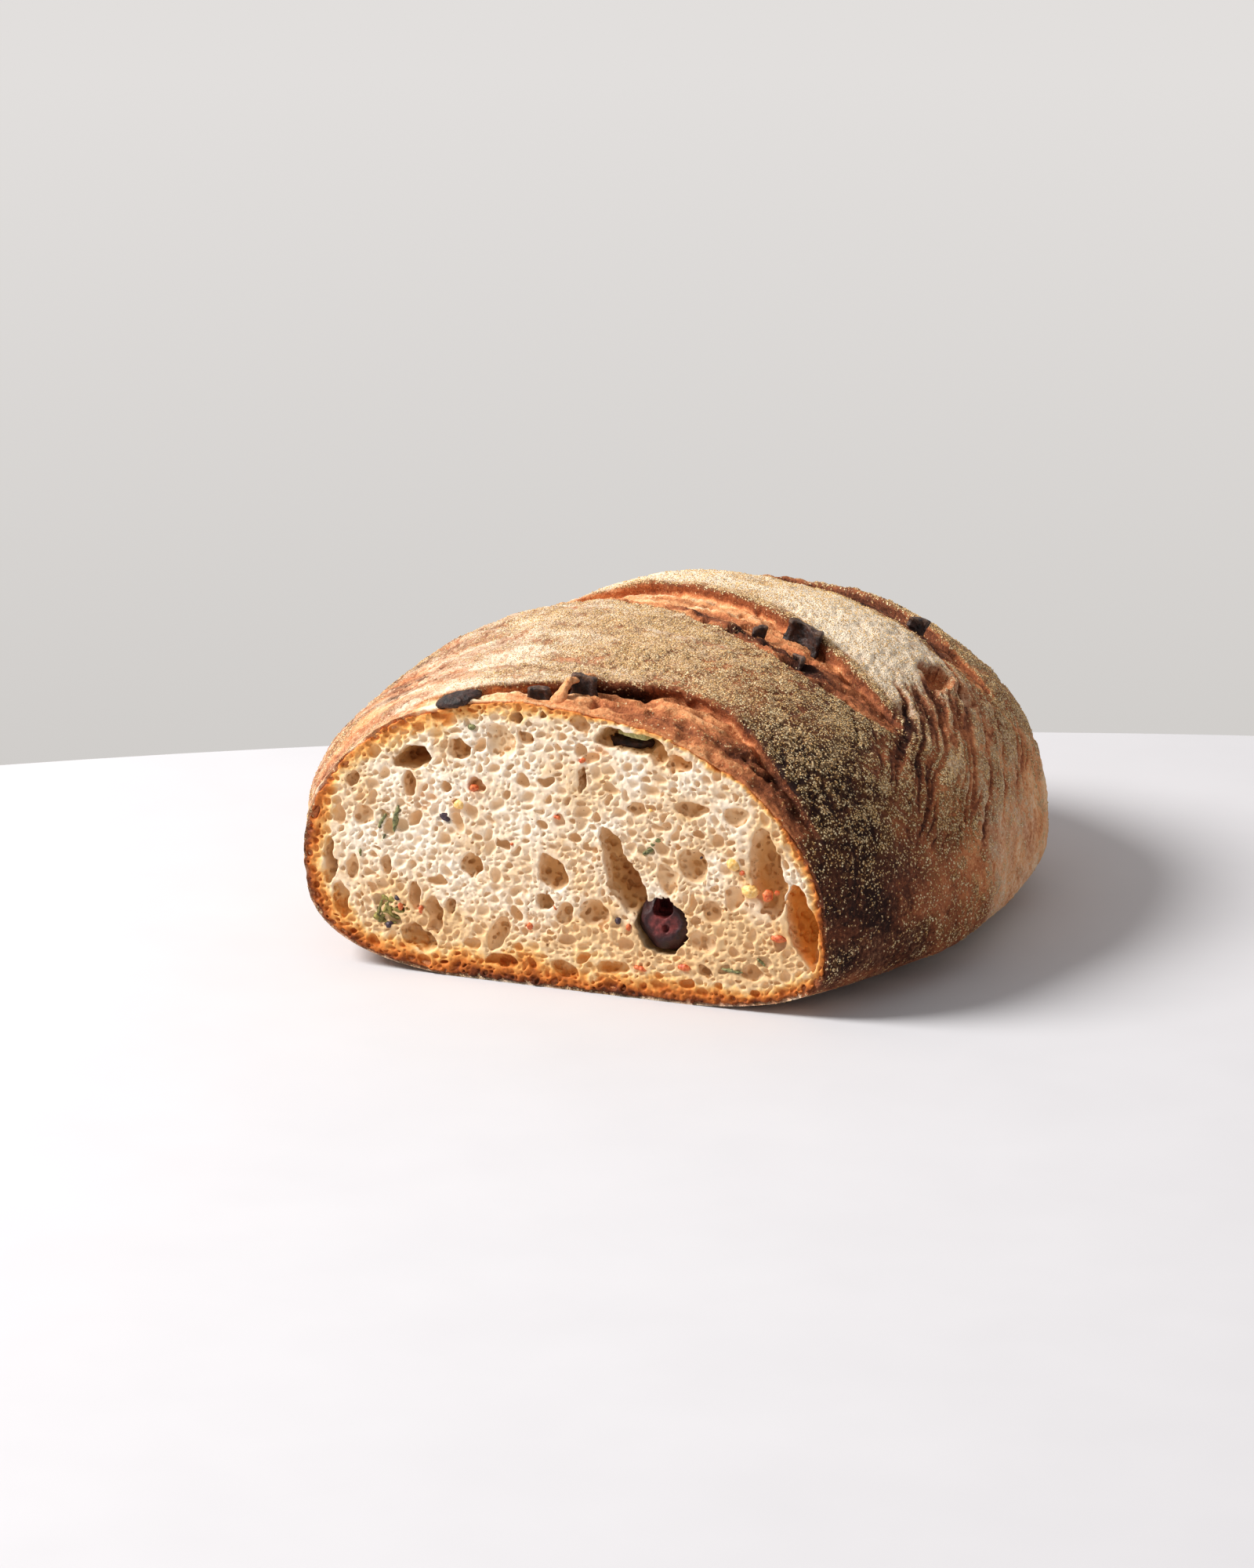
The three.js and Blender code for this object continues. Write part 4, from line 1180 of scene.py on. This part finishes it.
def build_whole_olive(name, shape, material):
    """An olive baked until its skin is wrinkled."""
    def field(points):
        wrinkles = np.abs(layered_noise(points * np.array([0.6, 1, 1]), 1.8, 2, 111))
        return shape_distance(points, shape) + 0.45 * (wrinkles - 0.3) + 0.25 * noise(points, 4, 113)

    def marks(points):
        return {"edge": 0.5 * smooth(noise(points, 4, 115), 0.1, 0.6)}

    piece = sculpted(name + "_skin", *reach_of(shape), 0.26, field, marks)
    dress(piece, material, "olive", name)


def slice_axes(part):
    """The seat of a slice and its axes: to the right, back and up from the crust."""
    up = form_normal(part.depth, part.angle)
    right = unit(form_point(part.depth, part.angle - 1) - form_point(part.depth, part.angle + 1))
    back = np.cross(up, right)
    turn = math.radians(part.turn)
    turned_right = right * math.cos(turn) + back * math.sin(turn)
    turned_back = back * math.cos(turn) - right * math.sin(turn)
    seat = above_crust(part.depth, part.angle, -(0.6 * SCORE_DEPTH + part.sink))
    return seat, np.stack([turned_right, turned_back, up])


def build_slice(name, part, material):
    seat, axes = slice_axes(part)
    middle_radius = part.radius - part.flesh / 2
    half_span = math.radians(part.span / 2)
    reach = part.radius + part.tall

    def local(points):
        q = (points - seat) @ axes.T
        radius = np.hypot(q[..., 0], q[..., 1] + middle_radius)
        turn = np.arctan2(q[..., 0], q[..., 1] + middle_radius)
        return radius, turn, q[..., 2]

    def field(points):
        bent = points + 0.8 * noise(points, 3.6, 121)[..., None]
        radius, turn, height = local(bent)
        thin = part.flesh / 2 * (0.9 - 0.3 * np.abs(turn) / half_span)
        across = np.abs(radius - middle_radius) - thin
        round_it = (np.abs(turn) - half_span) * middle_radius
        upright = np.abs(height - part.tall / 2) - part.tall / 2
        gaps = np.stack([across, round_it, upright], -1) + SLICE_ROUNDING
        outside = np.linalg.norm(np.maximum(gaps, 0), axis=-1)
        distance = outside + np.minimum(gaps.max(-1), 0) - SLICE_ROUNDING
        wrinkles = np.abs(layered_noise(points, 1.7, 2, 123)) - 0.3
        return distance + 0.4 * wrinkles

    def marks(points):
        return {"edge": smooth(local(points)[2], part.tall - 1.4, part.tall - 0.3)}

    piece = sculpted(name + "_skin", seat - reach, seat + reach, 0.28, field, marks)
    dress(piece, material, "olive", name)


# ---------------------------------------------------------------- herbs and bits
LEAF = {"depth": 6.2, "z": 75.1, "long": 13.4, "broad": 11, "thick": 0.8, "wave": 0.35}


def build_leaf():
    """The leaf that roofs the hole near the top, cut across."""
    def field(points):
        u = (points[..., 0] - LEAF_X) / (LEAF["long"] / 2)
        v = (points[..., 1] - LEAF["depth"]) / (LEAF["broad"] / 2)
        wave = LEAF["wave"] * np.sin(points[..., 0] / 1.7 + points[..., 1] / 2.5)
        droop = 0.012 * (points[..., 0] - LEAF_X) ** 2
        rib = 0.25 * np.exp(-((v * 6) ** 2)) + 0.1 * np.abs(np.sin(5 * u + 3 * np.abs(v)))
        thick = LEAF["thick"] / 2 + 0.7 * np.exp(-points[..., 1] / 2)
        across = np.abs(points[..., 2] - LEAF["z"] - wave + droop) - thick - rib
        outline = (np.hypot(u, v) - 1) * 4 + 0.3 * noise(points, 1.2, 131)
        return np.maximum(across, outline)

    low = [LEAF_X - 7.5, 0, LEAF["z"] - 2.5]
    high = [LEAF_X + 7.5, 12.5, LEAF["z"] + 2]
    blade = herb_material("leaf", linear(128, 122, 62), linear(204, 194, 126))
    dress(sculpted("leaf_blade", low, high, 0.22, field), blade, "herb", "herb_leaf")


# Leaves of the clump at the lower left, from its middle: start, end and radius at the start.
CLUMP_MIDDLE = np.array([-56.5, 2.0, 17.4])
LEAF_TIP = 0.25  # radius at the end of each
CLUMP_LEAVES = [
    ((-4.8, -1.6, -2.6), (-2.6, -1.8, 4.0), 0.9),
    ((-3.8, -1.4, -3.4), (-0.6, -2.0, 3.2), 0.7),
    ((-2.6, -1.6, 3.6), (1.8, -1.8, 1.4), 0.8),
    ((-0.4, -1.8, 3.4), (4.4, -1.4, 0.6), 0.8),
    ((0.6, -1.9, 0.6), (4.9, -1.6, -1.4), 0.7),
    ((-2.2, -1.2, -0.4), (2.6, -1.4, -2.6), 0.9),
    ((-3.6, -0.6, -3.8), (0.8, -1.2, -4.0), 0.7),
    ((-1.6, -1.9, 1.6), (0.4, -2.1, -2.0), 0.6),
]


def build_clump():
    """A clump of chopped herbs in the lower left of the cut face."""
    def field(points):
        bent = points + 0.35 * noise(points, 1.8, 141)[..., None]
        heap = ellipsoid(bent, CLUMP_MIDDLE + [0, 1.0, 0], (4.6, 2.0, 3.6))
        total = heap + 0.8 * noise(points, 1.5, 142)
        for start, end, radius in CLUMP_LEAVES:
            leaf = capsule(bent, CLUMP_MIDDLE + start, CLUMP_MIDDLE + end, radius, LEAF_TIP)
            total = np.minimum(total, leaf)
        return total + 0.12 * noise(points, 0.8, 143)

    low, high = CLUMP_MIDDLE - [6.5, 4, 6], CLUMP_MIDDLE + [6.5, 4.5, 6]
    leaves = herb_material("herb", linear(58, 54, 20), linear(170, 156, 76))
    dress(sculpted("herb_leaves", low, high, 0.2, field), leaves, "herb", "herb_clump")


# Bits in the cut face: x, z, width, height and tilt.
CHILLI_BITS = [
    (54.6, 33.9, 3.0, 3.6, -10), (47.2, 39.6, 1.8, 1.6, 0), (57.9, 22.0, 4.2, 2.2, 0),
    (30.4, 10.6, 3.9, 2.0, 0), (17.5, 8.8, 4.6, 1.2, -10), (-7.0, 49.6, 2.0, 1.3, -20),
    (-15.1, 17.4, 2.0, 2.3, 0), (-31.6, 55.4, 2.4, 2.0, 0), (-7.6, 23.4, 1.8, 1.0, -50),
    (-54.2, 18.6, 1.5, 2.2, 0), (-47.9, 18.6, 1.4, 2.4, 0), (0.6, 66.6, 1.8, 1.2, 20),
    (14.0, 20.4, 1.2, 2.2, 0), (57.4, 35.0, 1.6, 1.4, 0), (-20.4, 40.4, 1.0, 1.0, 0),
]
PEPPER_BITS = [
    (49.6, 34.6, 5.0, 3.8, 0), (44.6, 41.6, 3.9, 3.2, -35), (-36.0, 50.2, 3.0, 2.8, 40),
    (20.5, 54.5, 1.2, 0.9, 0),
]
HERB_BITS = [
    (22.6, 46.2, 1.5, 1.2, 0), (21.2, 44.9, 1.3, 1.1, 0), (20.4, 43.2, 1.8, 1.3, 30),
    (18.8, 42.2, 1.6, 1.0, 40), (19.8, 42.4, 1.0, 1.2, 0), (-55.2, 44.0, 1.5, 8.2, -10),
    (-59.4, 43.0, 1.0, 5.0, -28), (-32.2, 72.9, 2.5, 1.7, 20), (44.4, 11.2, 6.6, 0.9, -4),
    (53.0, 14.6, 3.2, 0.6, -40), (-59.0, 38.0, 0.8, 3.0, -20), (-66.0, 33.0, 0.7, 2.4, 0),
]
DARK_BITS = [
    (11.0, 21.9, 2.2, 2.2, 0), (-40.5, 46.1, 3.3, 2.4, -32), (35.2, 42.6, 0.7, 0.7, 0),
    (-57.6, 13.0, 2.4, 2.0, 0), (-55.2, 20.9, 1.6, 1.4, 0),
]


BIT_STEP = 0.2
BIT_MIDDLE, BIT_REACH = 0.4, 2.6  # the depths that hold every bit, round their middle


def build_bits(name, bits, material, proud):
    """Small bits that the knife left in the cut face, as one piece."""
    points, triangles, quads = [], [], []
    count = 0
    for x, z, width, height, tilt in bits:
        half = 0.5 * max(width, height) + 1
        spans = ((x, half), (BIT_MIDDLE, BIT_REACH), (z, half))
        axes = [np.arange(middle - reach, middle + reach, BIT_STEP) for middle, reach in spans]
        grid = grid_of(*axes)
        deep = 0.6 + 0.25 * min(width, height)
        field = ellipsoid(grid, (x, 0.2 - proud, z), (width / 2, deep, height / 2), tilt)
        field = field + 0.22 * noise(grid, 0.9, 151) + 0.1 * noise(grid, 0.45, 152)
        low = np.array([axis[0] for axis in axes])
        spots, faces = polygons_of(field, low, [BIT_STEP] * 3)
        points.append(spots)
        triangles.append(np.asarray(faces[0]).reshape(-1, 3) + count)
        quads.append(np.asarray(faces[1]).reshape(-1, 4) + count)
        count += len(spots)
    faces = [np.concatenate(triangles), np.concatenate(quads)]
    piece = mesh_piece(name, np.concatenate(points), faces)
    dress(piece, material, "herb", "loaf")


# The strand of dough in the first score: its radii and marks, and its low end, bend and top as
# depth, angle and height above the undisturbed crust.
STRAND_PLACES = [(4.6, 85.8, -1.6), (9.0, 85.4, 2.0), (16.5, 83.4, 0.8)]
STRAND_RADII = [2.2, 1.2, 1.0]
STRAND_MARKS = {"bake": 0.31, "dust": -1, "flour": 0}


def build_strand(material):
    """The strand of dough between the two olive slices in the first score."""
    places = np.stack([above_crust(*place) for place in STRAND_PLACES])

    def field(points):
        bent = points + 0.7 * noise(points, 3.5, 161)[..., None]
        lower = capsule(bent, *places[:2], *STRAND_RADII[:2])
        upper = capsule(bent, *places[1:], *STRAND_RADII[1:])
        return np.minimum(lower, upper) + 0.4 * noise(points, 1.3, 162)

    def marks(points):
        return {key: np.full(len(points), value) for key, value in STRAND_MARKS.items()}

    low, high = places.min(0) - 3, places.max(0) + 3
    dress(sculpted("dough_strand", low, high, 0.3, field, marks), material, "crust", "loaf")


def build_toppings(crust):
    skin = olive_skin_material()
    build_cut_olive(olive_flesh_material())
    build_whole_olive("olive_crust_rim", RIM_OLIVE, skin)
    build_whole_olive("olive_leaf_hole", HOLE_OLIVE, skin)
    for name, part in OLIVE_SLICES.items():
        build_slice(name, part, skin)
    build_leaf()
    build_clump()
    build_strand(crust)
    chilli = bit_material("chilli", linear(190, 72, 30), linear(226, 124, 66), 0.5)
    pepper = bit_material("pepper", linear(238, 182, 92), linear(248, 208, 140), 0.5)
    herb_bit = bit_material("herb_bit", linear(74, 74, 44), linear(146, 146, 92), 0.6)
    dark_bit = bit_material("dark_bit", linear(34, 24, 32), linear(72, 48, 60), 0.5)
    build_bits("chilli_bits", CHILLI_BITS, chilli, 0.1)
    build_bits("pepper_bits", PEPPER_BITS, pepper, 0.25)
    build_bits("herb_bits", HERB_BITS, herb_bit, 0.1)
    build_bits("dark_bits", DARK_BITS, dark_bit, 0.0)


# ---------------------------------------------------------------- stage, light and camera
CAMERA_PLACE = (589.0, -1494.4, 532.6)  # in the loaf's own frame
CAMERA_YAW = 21.06  # degrees to the left of straight along the loaf
CAMERA_PITCH = 16.4  # degrees down
LENS = 140.4
SENSOR_HEIGHT = 36

FLOOR_RADIUS = 1150
FLOOR_FAR_EDGE = 262  # behind the cut face, along the camera's line of sight
FLOOR_SHIFT = 110  # to the right of that line

WALL_LOW = linear(208, 205, 202)
WALL_HIGH = linear(226, 223, 221)
WALL_SHADES = (-0.28, -0.17)  # heights of sight, as sines, where the wall's low and high shades are
ROOM_LIGHT = 0.5  # how bright the room behind the camera is beside the wall
ROOM_EDGE = (0.1, 0.8)  # cosines from the line of sight between which the room meets the wall

# The one light, a large soft disk: places and sizes in metres, in the part's frame.
KEY_PLACE = (-1.35, -0.62, 1.4)
KEY_SIZE = 0.9
KEY_WATTS = 64
KEY_COLOUR = (1.0, 0.985, 0.955)


def sight_line():
    """The camera's line of sight on the table."""
    return np.array([-math.sin(math.radians(CAMERA_YAW)), math.cos(math.radians(CAMERA_YAW))])


def in_part(place):
    """A place in the loaf's own frame, in metres in the part's frame."""
    return (Vector(place) - Vector((MIDDLE_X, MIDDLE_Y, 0))) * MM


def add_camera():
    data = bpy.data.cameras.new("camera")
    data.sensor_fit = "VERTICAL"
    data.sensor_height = SENSOR_HEIGHT
    data.lens = LENS
    camera = bpy.data.objects.new("camera", data)
    turn = Matrix.Rotation(math.radians(CAMERA_YAW), 4, "Z")
    nod = Matrix.Rotation(math.radians(90 - CAMERA_PITCH), 4, "X")
    camera.matrix_world = Matrix.Translation(in_part(CAMERA_PLACE)) @ turn @ nod
    bpy.context.scene.collection.objects.link(camera)
    bpy.context.scene.camera = camera


def add_key_light():
    data = bpy.data.lights.new("key", "AREA")
    data.shape = "DISK"
    data.size = KEY_SIZE
    data.energy = KEY_WATTS
    data.color = KEY_COLOUR
    light = bpy.data.objects.new("key", data)
    light.location = KEY_PLACE
    light.rotation_euler = (-Vector(KEY_PLACE)).to_track_quat("-Z", "Y").to_euler()
    bpy.context.scene.collection.objects.link(light)


def add_world():
    """A pale grey wall beyond the loaf, and a dimmer room behind the camera."""
    world = bpy.data.worlds.new("studio")
    bpy.context.scene.world = world
    world.use_nodes = True
    tree = world.node_tree
    direction = add_node(tree, "TexCoord").outputs["Generated"]
    height = add_node(tree, "SeparateXYZ", {0: direction}).outputs["Z"]
    wall = mixed(tree, ranged(tree, height, *WALL_SHADES, 0.0, 1.0), WALL_LOW, WALL_HIGH)
    facing = {0: direction, 1: (*sight_line(), 0.0)}
    beyond = add_node(tree, "VectorMath", facing, operation="DOT_PRODUCT").outputs["Value"]
    light = ranged(tree, beyond, *ROOM_EDGE, ROOM_LIGHT, 1.0)
    background = tree.nodes["Background"]
    feed(tree, background.inputs["Color"], wall)
    feed(tree, background.inputs["Strength"], light)


def add_floor():
    """A round pale table whose far edge shows behind the loaf."""
    sight = sight_line()
    aside = np.array([sight[1], -sight[0]])
    middle = (FLOOR_FAR_EDGE - FLOOR_RADIUS) * sight + FLOOR_SHIFT * aside
    turn = np.linspace(0, 2 * math.pi, 240, endpoint=False)
    ring = middle + FLOOR_RADIUS * np.stack([np.cos(turn), np.sin(turn)], -1)
    points = np.concatenate([ring, 0 * ring[:, :1]], -1)
    floor = mesh_piece("floor", points, [np.arange(len(points)).reshape(1, -1)], None, False)
    s = Shader("floor")
    colour = s.mix(s.noise(40, 2), linear(208, 207, 211), linear(202, 201, 205))
    floor.data.materials.append(s.set(Base_Color=colour, Roughness=0.9))


baked_crust = crust_material()
crust_points, crust_paint = build_crust(baked_crust)
build_semolina(crust_points, crust_paint)
build_crumb(crust_points[0])
build_toppings(baked_crust)
add_camera()
add_world()
add_floor()
add_key_light()
bpy.context.scene.view_settings.view_transform = "Standard"
